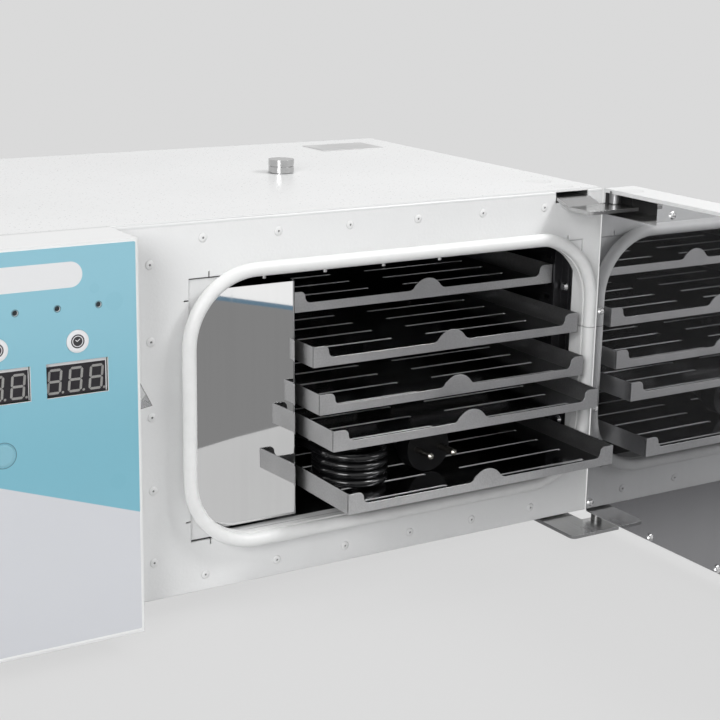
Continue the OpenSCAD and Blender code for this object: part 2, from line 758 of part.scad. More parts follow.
module vent_tube() {
  color("silver") in_frame() {
    tube_z(liner_top, case_h, vent_x, vent_y, vent_r, stem_r + pin_clear);
    tube_z(case_h, case_h + 0.6, vent_x, vent_y, vent_r + 2, stem_r + pin_clear);
  }
}

module vent_cap() {
  z = case_h + 0.6;
  color("silver") in_frame() {
    rod_z(z, z + cap_h * 0.46, vent_x, vent_y, cap_r);
    rod_z(z - 14, z + cap_h * 0.6, vent_x, vent_y, stem_r);
    rod_z(z + cap_h * 0.4, z + cap_h * 0.6, vent_x, vent_y, cap_r - 1.2);
    rod_z(z + cap_h * 0.55, z + cap_h, vent_x, vent_y, cap_r);
  }
}

module top_plate() {
  color("lightgray") in_frame()
    block([plate_x, plate_y, case_h], [plate_x + 57, plate_y + 37, case_h + 0.5]);
}

// Controls

module control_box() {
  x0 = -case_w;
  x1 = -face_w;
  color("whitesmoke") in_frame() difference() {
    block([x0, panel_y, 0], [x1, 0, case_h]);
    block([x0 + sheet_t, panel_y + sheet_t, sheet_t], [x1 - sheet_t, over, case_h - sheet_t]);
    front_holes(panel_y - over, panel_y + sheet_t + over);
  }
}
module front_holes(y0, y1) {
  along_y(y0, y1) {
    for (s = [-1, 1]) translate([panel_x + s * window_pitch / 2, window_z])
      square([window_w, window_h], center = true);
    for (p = key_places) translate(p) circle(key_r + 0.15);
    for (x = light_xs) translate([x, light_z]) circle(light_r + hole_fit);
  }
}

module control_film() {
  color("skyblue") in_frame() difference() {
    block([-case_w + 1.5, panel_y - film_t, 1.5], [-face_w - 1.5, panel_y, case_h - 1.5]);
    front_holes(panel_y - over, panel_y + over);
  }
}

module control_board() {
  color("seagreen") in_frame() {
    block([-case_w + 8, board_y, board_low], [-face_w - 6, board_y + 1.6, board_high]);
    for (p = key_places) block([p[0] - 3, board_y - 4, p[1] - 3], [p[0] + 3, board_y, p[1] + 3]);
    for (x = [-case_w + 13, -face_w - 11]) for (z = [board_low + 5, board_high - 5])
      rod_y(panel_y + sheet_t, board_y, x, z, 3);
  }
}

module display_left() { color("black") in_frame() display(panel_x - window_pitch / 2); }
module display_right() { color("black") in_frame() display(panel_x + window_pitch / 2); }
module display(x) {
  block([x - window_w / 2 + fit, panel_y + 2.2, window_z - window_h / 2 + fit],
        [x + window_w / 2 - fit, board_y, window_z + window_h / 2 - fit]);
}

module indicator_lights() {
  color("darkslategray") in_frame() for (x = light_xs) {
    rod_y(panel_y + 0.4, board_y, x, light_z, light_r);
    rod_y(board_y - 5, board_y, x, light_z, light_r + 0.5);
  }
}

module left_key() { color("white") in_frame() key(key_places[0]); }
module right_key() { color("white") in_frame() key(key_places[1]); }
module program_key() { color("lightblue") in_frame() key(key_places[2]); }
module key(p) {
  rod_y(panel_y - film_t - 0.3, panel_y + sheet_t + 0.4, p[0], p[1], key_r);
  rod_y(panel_y + sheet_t + 0.2, panel_y + sheet_t + 1.2, p[0], p[1], key_r + 0.8);
  rod_y(panel_y + sheet_t + 1, board_y - 4 - key_travel - 0.1, p[0], p[1], 2);
}

// A leaf spring on the control box's side: a long slope out and a short return
module catch_spring() {
  x = -face_w;
  color("silver") in_frame() along_y(panel_y + 3, panel_y + 17) polygon([
    [x, catch_z + 21.5], [x, catch_z + 18.4], [x + catch_out - 0.8, catch_z + 2.4], [x, catch_z + 1.4],
    [x, catch_z - 12], [x + 0.5, catch_z - 12], [x + 0.5, catch_z + 0.8], [x + catch_out, catch_z + 2],
    [x + 0.5, catch_z + 18.7], [x + 0.5, catch_z + 21.5]
  ]);
}

// Hinges

// Plan of a strap: a leg out of the case and an arm that rounds the pivot
module strap_plan() {
  difference() {
    union() {
      rect([strap_left, -strap_out + 4], [-strap_side, strap_back]);
      rect([strap_left + 4, -strap_out], [strap_right, pivot[1]]);
      translate([strap_left + 4, -strap_out + 4]) circle(4);
      rect([-strap_side - 1, pivot[1] - 1], [pivot[0], pivot[1] + strap_tip]);
      translate(pivot) circle(strap_tip);
    }
    translate(pivot) circle(pin_r);
  }
}
module hinge_strap_top() {
  z = strap_z;
  color("silver") in_frame() difference() {
    intersection() {
      translate([0, 0, z - 10]) linear_extrude(30) strap_plan();
      along_x(strap_left - 1, strap_right + 1) polygon([
        [strap_back, z + strap_joggle], [strap_back, z + strap_joggle + strap_t],
        [-1.6, z + strap_joggle + strap_t], [-14.6, z + strap_t], [-strap_out, z + strap_t],
        [-strap_out, z], [-14, z], [-1, z + strap_joggle]
      ]);
    }
    for (p = top_bolt_places) rod_z(z, z + 12, p[0], p[1], bolt_r + hole_fit);
  }
}
module hinge_strap_bottom() {
  color("silver") in_frame() difference() {
    translate([0, 0, low_strap_z]) linear_extrude(strap_t) strap_plan();
    for (p = bolt_places) rod_z(low_strap_z - over, 0, p[0], p[1], bolt_r + hole_fit);
  }
}
module hinge_pin_top() {
  color("silver") in_frame() {
    rod_z(strap_z, door_top - sheet_t - 1, pivot[0], pivot[1], pin_r);
    rod_z(strap_z - 1.2, strap_z, pivot[0], pivot[1], bush_r);
  }
}
module hinge_pin_bottom() {
  color("silver") in_frame() {
    rod_z(low_strap_z, door_base + 6, pivot[0], pivot[1], pin_r);
    rod_z(low_strap_z + strap_t, door_base - fit, pivot[0], pivot[1], bush_r);
  }
}
// Bolts of both straps: the lower ones pass a spacer and the base, the upper ones hang from the top
module strap_bolts() {
  color("silver") in_frame() {
    for (p = bolt_places) {
      rod_z(low_strap_z - 0.1, sheet_t + 5, p[0], p[1], bolt_r);
      rod_z(low_strap_z - 2.4, low_strap_z, p[0], p[1], bolt_r * 1.7);
      tube_z(low_strap_z + strap_t, 0, p[0], p[1], bolt_r * 1.7, bolt_r - 0.2);
      translate([p[0], p[1], sheet_t]) cylinder(h = 3, r = bolt_r * 1.9, $fn = 6);
    }
    for (p = top_bolt_places) {
      rod_z(strap_z + strap_joggle - 0.1, case_h - sheet_t, p[0], p[1], bolt_r);
      rod_z(strap_z + strap_joggle - 2.4, strap_z + strap_joggle, p[0], p[1], bolt_r * 1.7);
    }
  }
}

// Feet and the mains inlet

module feet() {
  color("dimgray") in_frame() for (p = foot_places) translate([p[0], p[1], -foot_h]) difference() {
    cylinder(h = foot_h, r1 = foot_r - 2, r2 = foot_r);
    translate([0, 0, -over]) cylinder(h = foot_h - 4 + over, r = 5);
    cylinder(h = foot_h + over, r = foot_screw_r + hole_fit);
  }
}
module foot_screws() {
  color("silver") in_frame() for (p = foot_places) {
    rod_z(-4.1, sheet_t + 5, p[0], p[1], foot_screw_r);
    rod_z(-7, -4, p[0], p[1], 4.4);
    translate([p[0], p[1], sheet_t]) cylinder(h = 3, r = 4, $fn = 6);
  }
}

module power_inlet() {
  y = case_d;
  color("black") in_frame() difference() {
    union() {
      block([inlet_x - inlet_w / 2, y - 24, inlet_z - inlet_h / 2],
            [inlet_x + inlet_w / 2, y + 0.1, inlet_z + inlet_h / 2]);
      along_y(y, y + rear_out) round_rect([inlet_x - inlet_w / 2 - 10, inlet_z - inlet_h / 2 - 3],
        [inlet_x + inlet_w / 2 + 10, inlet_z + inlet_h / 2 + 3], 3);
    }
    block([socket_x - 12.4, y - 15, inlet_z - 8.4], [socket_x + 12.4, y + rear_out + over, inlet_z + 8.4]);
    block([switch_x - 6.4, y - 15, inlet_z - 9.6], [switch_x + 6.4, y + rear_out + over, inlet_z + 9.6]);
    for (s = [-1, 1])
      rod_y(y - over, y + 4, inlet_x + s * inlet_screw_dx, inlet_z, small_screw_r + hole_fit);
    rod_x(switch_x - rocker_pin_l - 0.1, switch_x + rocker_pin_l + 0.1,
          rocker_y, inlet_z, rocker_pin_r + pin_clear);
  }
  color("silver") in_frame() for (dx = [-7, 0, 7])
    block([socket_x + dx - 1, y - 15.5, inlet_z - 2 + (dx == 0 ? 3 : -1)],
          [socket_x + dx + 1, y - 1, inlet_z + 2 + (dx == 0 ? 3 : -1)]);
}
// A rocker with two flats; at rest its upper half is pressed in
module power_switch() {
  color("dimgray") in_frame() translate([0, rocker_y, inlet_z]) rotate([-rocker_tilt, 0, 0]) {
    along_x(switch_x - 6, switch_x + 6) polygon([
      [-5, -6], [0, -8.2], [1.4, -8.2], [2.6, 0], [1.4, 8.2], [0, 8.2], [-5, 6]
    ]);
    rod_x(switch_x - rocker_pin_l, switch_x + rocker_pin_l, 0, 0, rocker_pin_r);
  }
}

// Trays

module tray_1() { color("silver") in_frame() tray(0); }
module tray_2() { color("silver") in_frame() tray(1); }
module tray_3() { color("silver") in_frame() tray(2); }
module tray_4() { color("silver") in_frame() tray(3); }
module tray_5() { color("silver") in_frame() tray(4); }

// An end wall: raised ends with S-shaped steps, a low lip and a raised round middle
module end_wall_shape() {
  step_r = (tray_h - tray_lip) / 2;
  middle_z = tray_h - tray_hump_r;
  foot_z = tray_lip + tray_foot_r;
  reach = tray_hump_r + tray_foot_r;
  foot_x = sqrt(pow(reach, 2) - pow(foot_z - middle_z, 2));
  touch_z = middle_z + (foot_z - middle_z) * tray_hump_r / reach;
  rect([fit, 0], [tray_w - fit, tray_lip]);
  for (flip = [0, 1]) translate([flip * tray_w, 0]) mirror([flip, 0]) {
    rect([fit, 0], [raised_end, tray_h]);
    rect([fit, 0], [raised_end + step_r, tray_h - step_r]);
    translate([raised_end, tray_h - step_r]) circle(step_r);
    difference() {
      rect([raised_end, 0], [raised_end + 2 * step_r, tray_lip + step_r]);
      translate([raised_end + 2 * step_r, tray_lip + step_r]) circle(step_r);
    }
  }
  translate([tray_w / 2, 0]) difference() {
    union() {
      intersection() {
        translate([0, middle_z]) circle(tray_hump_r);
        rect([-tray_hump_r, 0], [tray_hump_r, tray_h]);
      }
      rect([-foot_x, 0], [foot_x, touch_z]);
    }
    for (side = [-1, 1]) translate([side * foot_x, foot_z]) circle(tray_foot_r);
  }
}
module tray(k) {
  translate([tray_left, tray_home - tray_pulls[k], opening_base + tray_lifts[k]]) {
    difference() {
      cube([tray_w, tray_d, tray_t]);
      for (row = [0:slot_rows - 1]) for (ends = slot_columns)
        translate([0, slot_first + row * slot_pitch, -over])
          linear_extrude(tray_t + 2 * over) floor_slot(ends);
      for (x = [-over, tray_w - corner_notch]) for (y = [-over, tray_d - corner_notch])
        translate([x, y, -over]) cube([over + corner_notch, over + corner_notch, 3 * over]);
    }
    for (y = [0, tray_d - tray_t]) along_y(y, y + tray_t) end_wall_shape();
    for (x = [0, tray_w - tray_t]) translate([x, corner_notch, 0])
      cube([tray_t, tray_d - 2 * corner_notch, tray_h]);
  }
}
module floor_slot(ends) {
  r = slot_w / 2;
  rect([ends[0] + r, -r], [ends[1] - r, r]);
  for (x = [ends[0] + r, ends[1] - r]) translate([x, 0]) circle(r, $fn = 24);
}

// Door, drawn closed and turned to its open place

module door_shell() {
  color("white") in_frame() door_open() {
    difference() {
      block([door_free, door_front, door_base], [door_over, door_back, door_top]);
      block([door_free + sheet_t, door_front + sheet_t, door_base + sheet_t],
            [door_over - sheet_t, door_back - sheet_t, door_top - sheet_t]);
      block([door_free + 8, door_back - 2 * sheet_t, door_base + 6],
            [door_over - 8, door_back + over, door_top - 12]);
      block([door_over - pocket_w, door_back - 2 * sheet_t, pocket_z],
            [door_over - sheet_t, door_back + over, door_top - sheet_t - 1.6]);
      catch_room(0);
      rod_z(door_base - over, door_base + 2 * sheet_t, pivot[0], pivot[1], bush_r);
      for (z = [door_base + sheet_t, door_top - sheet_t - 8])
        rod_z(z, z + 8, pivot[0], pivot[1], bush_r + 0.15);
      for (p = door_screw_places)
        rod_y(door_back - 2 * sheet_t, door_back + over, p[0], p[1], small_screw_r + hole_fit);
      for (p = handle_posts)
        rod_y(door_front - over, door_front + 2 * sheet_t, p[0], p[1], bolt_r + hole_fit);
    }
    block([door_over - pocket_w - sheet_t, door_front + sheet_t, pocket_z - sheet_t],
          [door_over - sheet_t, door_back, pocket_z]);
    block([door_over - pocket_w - sheet_t, door_front + sheet_t, pocket_z - sheet_t],
          [door_over - pocket_w, door_back, door_top - sheet_t]);
    difference() {
      intersection() {
        catch_room(sheet_t);
        block([door_free, door_front, door_base], [door_over, door_back, door_top]);
      }
      catch_room(0);
    }
  }
}
// Room for the catch spring in the door's free end, open at the end and at the back
module catch_room(grow) {
  block([door_free - over, catch_y0 - 0.6 - grow, catch_z - catch_down - grow],
        [door_free + catch_in + grow, door_back + over, catch_z + catch_up + grow]);
}

module door_insulation() {
  color("khaki") in_frame() door_open() difference() {
    block([door_free + sheet_t + 0.2, door_front + sheet_t + 0.2, door_base + sheet_t + 0.2],
          [door_over - sheet_t - 0.2, door_back - sheet_t - 0.2, door_top - sheet_t - 0.2]);
    block([door_over - pocket_w - sheet_t - fit, door_front, pocket_z - sheet_t - fit],
          [door_over, 0, door_top]);
    catch_room(sheet_t + fit);
    rod_z(door_base, door_base + 12, pivot[0], pivot[1], bush_r + 3);
    for (p = handle_posts) rod_y(door_front, door_front + 12, p[0], p[1], bolt_r * 1.9 + 0.3);
    for (p = door_screw_places) rod_y(door_back - 9, 0, p[0], p[1], small_screw_r + 0.4);
  }
}

module door_mirror() {
  color("lightsteelblue") in_frame() door_open() difference() {
    along_y(door_back, door_back + mirror_t) difference() {
      round_rect([door_free + 0.6, door_base + 0.6], [door_over - 0.6, door_top - 2.4], 3);
      rect([door_over - pocket_w, pocket_z], [door_over + over, door_top]);
      rect([door_free - over, catch_z - catch_down - slide_gap],
           [door_free + catch_in + slide_gap, catch_z + catch_up + slide_gap]);
      for (p = door_screw_places) translate(p) circle(small_screw_r + hole_fit);
    }
  }
}

module door_screws() {
  color("silver") in_frame() door_open() for (p = door_screw_places) {
    rod_y(door_back - 8, door_back + mirror_t + 0.1, p[0], p[1], small_screw_r);
    translate([p[0], -door_gap, p[1]]) rotate([-90, 0, 0]) difference() {
      cylinder(h = 1.7, r1 = 3, r2 = 2);
      translate([0, 0, 0.9]) cylinder(h = over, r = 1.2, $fn = 6);
    }
  }
}

module door_bushes() {
  color("silver") in_frame() door_open() {
    tube_z(strap_z + strap_t + 0.6, door_top - sheet_t, pivot[0], pivot[1], bush_r, pin_r + pin_clear);
    tube_z(door_base, door_base + bush_l, pivot[0], pivot[1], bush_r, pin_r + pin_clear);
  }
}

module door_handle() {
  y = door_front - handle_out + handle_r;
  color("silver") in_frame() door_open() difference() {
    union() {
      rod_z(handle_z - handle_span / 2 - 14, handle_z + handle_span / 2 + 14, handle_cx, y, handle_r);
      for (p = handle_posts) rod_y(y, door_front, p[0], p[1], handle_r * 0.8);
    }
    for (p = handle_posts) rod_y(door_front - 10, door_front + over, p[0], p[1], bolt_r + hole_fit);
  }
}
module handle_screws() {
  color("silver") in_frame() door_open() for (p = handle_posts) {
    rod_y(door_front - 9, door_front + sheet_t + 0.1, p[0], p[1], bolt_r);
    rod_y(door_front + sheet_t, door_front + sheet_t + 2.6, p[0], p[1], bolt_r * 1.8);
  }
}

// Mains lead on the lowest tray

module cord_coil() {
  color("black") in_frame() translate([coil_x, coil_y, coil_z]) rotate_extrude()
    translate([coil_r - cord_d / 2, 0]) square([cord_d, coil_h]);
}
module plug_lead() { color("black") in_frame() swept_cord(plug_route); }
module connector_lead() { color("black") in_frame() swept_cord(connector_route); }

// A round bar swept along a route's points
function ring(route, i) =
  let (a = route[max(i - 1, 0)], b = route[min(i + 1, len(route) - 1)], t = (b - a) / norm(b - a),
       side = cross(t, [0, 0, 1]) / norm(cross(t, [0, 0, 1])), lift = cross(side, t))
  [for (k = [0:7]) route[i] + cord_d / 2 * (cos(45 * k) * side + sin(45 * k) * lift)];
module swept_cord(route) {
  n = len(route);
  polyhedron(
    points = [for (i = [0:n - 1]) each ring(route, i)],
    faces = concat(
      [[for (k = [7:-1:0]) k]],
      [for (i = [0:n - 2]) for (k = [0:7])
        [8 * i + k, 8 * i + (k + 1) % 8, 8 * i + 8 + (k + 1) % 8, 8 * i + 8 + k]],
      [[for (k = [0:7]) 8 * (n - 1) + k]]
    )
  );
}

module mains_plug() {
  color("black") in_frame() translate([plug_x, plug_y, plug_z]) rotate([-90, 0, 0]) {
    cylinder(h = 14, r = plug_r);
    translate([0, 0, 14]) cylinder(h = 22, r1 = plug_r - 1, r2 = 8);
    translate([0, 0, 36]) cylinder(h = 18, r1 = 5.5, r2 = 4);
  }
  color("silver") in_frame() for (dx = [-9.5, 9.5]) {
    rod_y(plug_y - 17.5, plug_y + 0.1, plug_x + dx, plug_z, 2.4);
    translate([plug_x + dx, plug_y - 17.5, plug_z]) rotate([90, 0, 0]) cylinder(h = 1.5, r1 = 2.4, r2 = 1.2);
  }
}

module appliance_connector() {
  y0 = connector_y;
  color("black") in_frame() difference() {
    union() {
      block([connector_x - 12, y0 + 12, connector_z - 8], [connector_x + 12, y0 + 42, connector_z + 8]);
      block([connector_x - 14, y0, connector_z - 10], [connector_x + 14, y0 + 18, connector_z + 10]);
      translate([connector_x, y0 + 1, connector_z]) rotate([90, 0, 0]) cylinder(h = 21, r1 = 5.5, r2 = 4);
    }
    for (dx = [-7, 0, 7]) block([connector_x + dx - 1.2, y0 + 24, connector_z - 2.4 + (dx == 0 ? 3 : -1)],
                                [connector_x + dx + 1.2, y0 + 43, connector_z + 2.4 + (dx == 0 ? 3 : -1)]);
  }
}

case_cover();
base_plate();
rear_panel();
rear_screws();
front_face();
face_rivets();
door_collar();
collar_gasket();
chamber_liner();
chamber_insulation();
bulkhead();
heater_cover();
chamber_screws();
tray_uprights();
tray_rails();
heating_element();
temperature_probe();
fan_motor();
fan_wheel();
vent_tube();
vent_cap();
top_plate();
control_box();
control_film();
control_board();
display_left();
display_right();
indicator_lights();
left_key();
right_key();
program_key();
catch_spring();
hinge_strap_top();
hinge_strap_bottom();
hinge_pin_top();
hinge_pin_bottom();
strap_bolts();
feet();
foot_screws();
power_inlet();
power_switch();
tray_1();
tray_2();
tray_3();
tray_4();
tray_5();
door_shell();
door_insulation();
door_mirror();
door_screws();
door_bushes();
door_handle();
handle_screws();
cord_coil();
plug_lead();
connector_lead();
mains_plug();
appliance_connector();
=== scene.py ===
"""Looks of a bench-top dry heat sterilizer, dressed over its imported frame."""

import logging
import math
from abc import ABC, abstractmethod
from dataclasses import dataclass
from enum import Enum
from functools import cached_property
from typing import Any, Mapping, Sequence, Union

import bpy
from mathutils import Matrix, Vector


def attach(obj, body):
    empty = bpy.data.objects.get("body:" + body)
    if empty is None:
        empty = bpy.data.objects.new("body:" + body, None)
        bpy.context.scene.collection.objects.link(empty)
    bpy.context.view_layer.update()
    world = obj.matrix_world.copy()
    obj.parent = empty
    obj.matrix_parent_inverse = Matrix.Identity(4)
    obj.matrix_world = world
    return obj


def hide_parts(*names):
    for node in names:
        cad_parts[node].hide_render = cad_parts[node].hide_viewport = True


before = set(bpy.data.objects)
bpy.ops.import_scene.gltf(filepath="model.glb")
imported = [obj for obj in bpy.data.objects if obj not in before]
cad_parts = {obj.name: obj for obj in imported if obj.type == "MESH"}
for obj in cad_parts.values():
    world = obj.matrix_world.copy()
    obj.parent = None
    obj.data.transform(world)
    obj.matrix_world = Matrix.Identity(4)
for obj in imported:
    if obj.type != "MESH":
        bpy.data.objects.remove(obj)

LOG = logging.getLogger("sterilizer")
MM = 0.001
# The case's front bottom corner at the hinge side, in mm of the row frame. Case places
# are measured from it.
CASE_CORNER = (227.0, 38.2, 15.0)

Point = tuple[float, float, float]
Colour = tuple[float, float, float]
Flat = tuple[float, float]
# The value at which a mask starts and the value at which it is full
Span = tuple[float, float]


def at(x: float, y: float, z: float) -> Vector:
    """Returns the row frame's point, in metres, of a case place in mm."""
    return Vector([(v + c) * MM for v, c in zip((x, y, z), CASE_CORNER)])


def shaded(colour: Colour, share: float) -> Colour:
    """Returns a colour with its values multiplied by the share."""
    red, green, blue = colour
    return red * share, green * share, blue * share


# Shader graphs


class Wire:
    """An output socket of a shader graph, with arithmetic."""

    def __init__(self, graph: "Graph", socket: bpy.types.NodeSocket) -> None:
        """Keeps the graph and its socket."""
        self.graph = graph
        self.socket = socket

    def _math(self, operation: str, *values: "Operand") -> "Wire":
        """Returns the output of a Math node that works on the values."""
        settings, inputs = {"operation": operation}, dict(enumerate(values))
        return self.graph.wire(self.graph.node("ShaderNodeMath", settings, inputs))

    def __add__(self, other: "Operand") -> "Wire":
        """Returns self + other."""
        return self._math("ADD", self, other)

    __radd__ = __add__

    def __sub__(self, other: "Operand") -> "Wire":
        """Returns self - other."""
        return self._math("SUBTRACT", self, other)

    def __rsub__(self, other: "Operand") -> "Wire":
        """Returns other - self."""
        return self._math("SUBTRACT", other, self)

    def __mul__(self, other: "Operand") -> "Wire":
        """Returns self * other."""
        return self._math("MULTIPLY", self, other)

    __rmul__ = __mul__

    def __truediv__(self, other: "Operand") -> "Wire":
        """Returns self / other."""
        return self._math("DIVIDE", self, other)

    def __rtruediv__(self, other: "Operand") -> "Wire":
        """Returns other / self."""
        return self._math("DIVIDE", other, self)

    def __abs__(self) -> "Wire":
        """Returns the absolute value."""
        return self._math("ABSOLUTE", self)

    def most(self, other: "Operand") -> "Wire":
        """Returns the larger of the two."""
        return self._math("MAXIMUM", self, other)

    def least(self, other: "Operand") -> "Wire":
        """Returns the smaller of the two."""
        return self._math("MINIMUM", self, other)

    def root(self) -> "Wire":
        """Returns the square root."""
        return self._math("SQRT", self)

    def fraction(self) -> "Wire":
        """Returns what the value holds above a whole number."""
        return self._math("FRACT", self)

    def swing(self, amount: float) -> "Wire":
        """Returns a pattern's swing about its average of 0.5, times the amount."""
        return (self - 0.5) * amount

    def fade(self, start: float, end: float) -> "Wire":
        """Maps the value to a smooth step.

        Args:
            start: The value that gives 0.
            end: The value that gives 1, above or below start.

        Returns:
            The step, from 0 to 1.
        """
        made = self.graph.node(
            "ShaderNodeMapRange",
            {"interpolation_type": "SMOOTHSTEP"},
            {0: self, 1: start, 2: end},
        )
        return self.graph.wire(made)

    def within(self, low: Span, high: Span) -> "Wire":
        """Returns 1 between a fade at the low end and one at the high end."""
        return self.fade(*low) * self.fade(*high)


Operand = Union[Wire, float]
Tint = Union[Wire, Colour]
Place = tuple[Wire, Wire, Wire]


class Graph:
    """The nodes of one material or world."""

    def __init__(self, tree: bpy.types.NodeTree) -> None:
        """Clears the tree and keeps it."""
        tree.nodes.clear()
        self.tree = tree

    def node(
        self,
        kind: str,
        settings: Mapping[str, Any] | None = None,
        inputs: Mapping[Any, Any] | None = None,
    ) -> bpy.types.Node:
        """Adds a node.

        Args:
            kind: The node's type.
            settings: Its own settings, such as an operation, which are set first.
            inputs: Values or wires by socket name or number.

        Returns:
            The new node.
        """
        made = self.tree.nodes.new(kind)
        for name, value in (settings or {}).items():
            setattr(made, name, value)
        for key, value in (inputs or {}).items():
            socket = made.inputs[key]
            if isinstance(value, Wire):
                self.tree.links.new(value.socket, socket)
            elif isinstance(value, tuple) and socket.type == "RGBA":
                socket.default_value = (*value, 1)
            else:
                socket.default_value = value
        return made

    def wire(self, made: bpy.types.Node, output: Any = 0) -> Wire:
        """Returns one output of a node as a wire."""
        return Wire(self, made.outputs[output])

    @cached_property
    def place(self) -> Wire:
        """The surface's own place, in metres of the row frame, as a vector."""
        return self.wire(self.node("ShaderNodeTexCoord"), "Object")

    @cached_property
    def case_place(self) -> Place:
        """The surface's case place, in mm, as three wires."""
        parts = self.node("ShaderNodeSeparateXYZ", inputs={0: self.place})
        return tuple(self.wire(parts, i) / MM - c for i, c in enumerate(CASE_CORNER))

    def facing(self, axis: int) -> Wire:
        """Returns the part of the surface's own normal along an axis, 0 to 2."""
        normal = self.wire(self.node("ShaderNodeNewGeometry"), "True Normal")
        return self.wire(self.node("ShaderNodeSeparateXYZ", inputs={0: normal}), axis)

    def box_distance(self, centre: Flat, half: Flat, radius: float) -> Wire:
        """Measures how far a place on the front is from a rounded rectangle's edge.

        Args:
            centre: The rectangle's centre, as a case place's x and z.
            half: Half of its width and height.
            radius: Its corners' radius.

        Returns:
            The distance in mm, below zero inside.
        """
        x, _, z = self.case_place
        dx = abs(x - centre[0]) - (half[0] - radius)
        dz = abs(z - centre[1]) - (half[1] - radius)
        away = (dx.most(0) * dx.most(0) + dz.most(0) * dz.most(0)).root()
        return away + dx.most(dz).least(0) - radius

    def noise(
        self,
        pitch: float,
        detail: float = 2.0,
        stretch: Point = (1, 1, 1),
        warp: float = 0.0,
    ) -> Wire:
        """Adds a noise pattern.

        Args:
            pitch: Size of its grains, in mm.
            detail: Number of finer layers.
            stretch: How much longer the grains are along x, y and z.
            warp: Distortion of the pattern.

        Returns:
            Its value, about 0.5 on average.
        """
        scaled = self.node(
            "ShaderNodeVectorMath",
            {"operation": "DIVIDE"},
            {0: self.place, 1: tuple(s * pitch * MM for s in stretch)},
        )
        made = self.node(
            "ShaderNodeTexNoise",
            inputs={
                "Vector": self.wire(scaled),
                "Scale": 1.0,
                "Detail": detail,
                "Distortion": warp,
            },
        )
        return self.wire(made)

    def tint(self, share: Operand, first: Tint, second: Tint) -> Wire:
        """Returns a colour that goes from the first to the second with the share."""
        inputs = {0: share, 6: first, 7: second}
        return self.wire(self.node("ShaderNodeMix", {"data_type": "RGBA"}, inputs), 2)

    def relief(self, height: Wire, depth: float, below: Wire | None = None) -> Wire:
        """Adds a Bump node.

        Args:
            height: The height pattern, from 0 to 1.
            depth: The height of its highest place, in mm.
            below: The normal it adds to.

        Returns:
            The normal.
        """
        inputs = {"Distance": depth * MM, "Height": height}
        if below is not None:
            inputs["Normal"] = below
        return self.wire(self.node("ShaderNodeBump", inputs=inputs))

    def soft_edge(self, radius: float) -> Wire:
        """Returns a normal that rounds edges with the radius, in mm."""
        inputs = {"Radius": radius * MM}
        return self.wire(self.node("ShaderNodeBevel", {"samples": 4}, inputs))

    def surface(self, **inputs: Any) -> None:
        """Adds the main shader, with inputs by their names with _ for each space."""
        named = {key.replace("_", " "): value for key, value in inputs.items()}
        self.finish(self.wire(self.node("ShaderNodeBsdfPrincipled", inputs=named)))

    def finish(self, shader: Wire, output: str = "ShaderNodeOutputMaterial") -> None:
        """Links a shader to the output."""
        self.node(output, inputs={"Surface": shader})


def disc_distance(x: Wire, z: Wire, centre: Flat) -> Wire:
    """Returns the distance from a centre, in mm."""
    dx, dz = x - centre[0], z - centre[1]
    return (dx * dx + dz * dz).root()


def blank_material(name: str) -> tuple[bpy.types.Material, Graph]:
    """Makes a material.

    Args:
        name: Its name.

    Returns:
        The material and its empty graph.
    """
    made = bpy.data.materials.new(name)
    made.use_nodes = True
    return made, Graph(made.node_tree)


# Finishes. Their places and sizes are in mm, and the places are case places.


class Along(Enum):
    """The direction in which a sheet was rolled or brushed, as a noise stretch."""

    NONE = (1.0, 1.0, 1.0)
    X = (60.0, 1.0, 1.0)
    Y = (1.0, 60.0, 1.0)
    Z = (1.0, 1.0, 60.0)


@dataclass(frozen=True)
class Finish(ABC):
    """A surface finish that makes its material once."""

    name: str

    @abstractmethod
    def shade(self, g: Graph) -> None:
        """Builds the finish's nodes in the graph."""

    def material(self) -> bpy.types.Material:
        """Makes the finish's material at its first use.

        Returns:
            The material.
        """
        found = bpy.data.materials.get(self.name)
        if found is None:
            found, g = blank_material(self.name)
            self.shade(g)
        return found


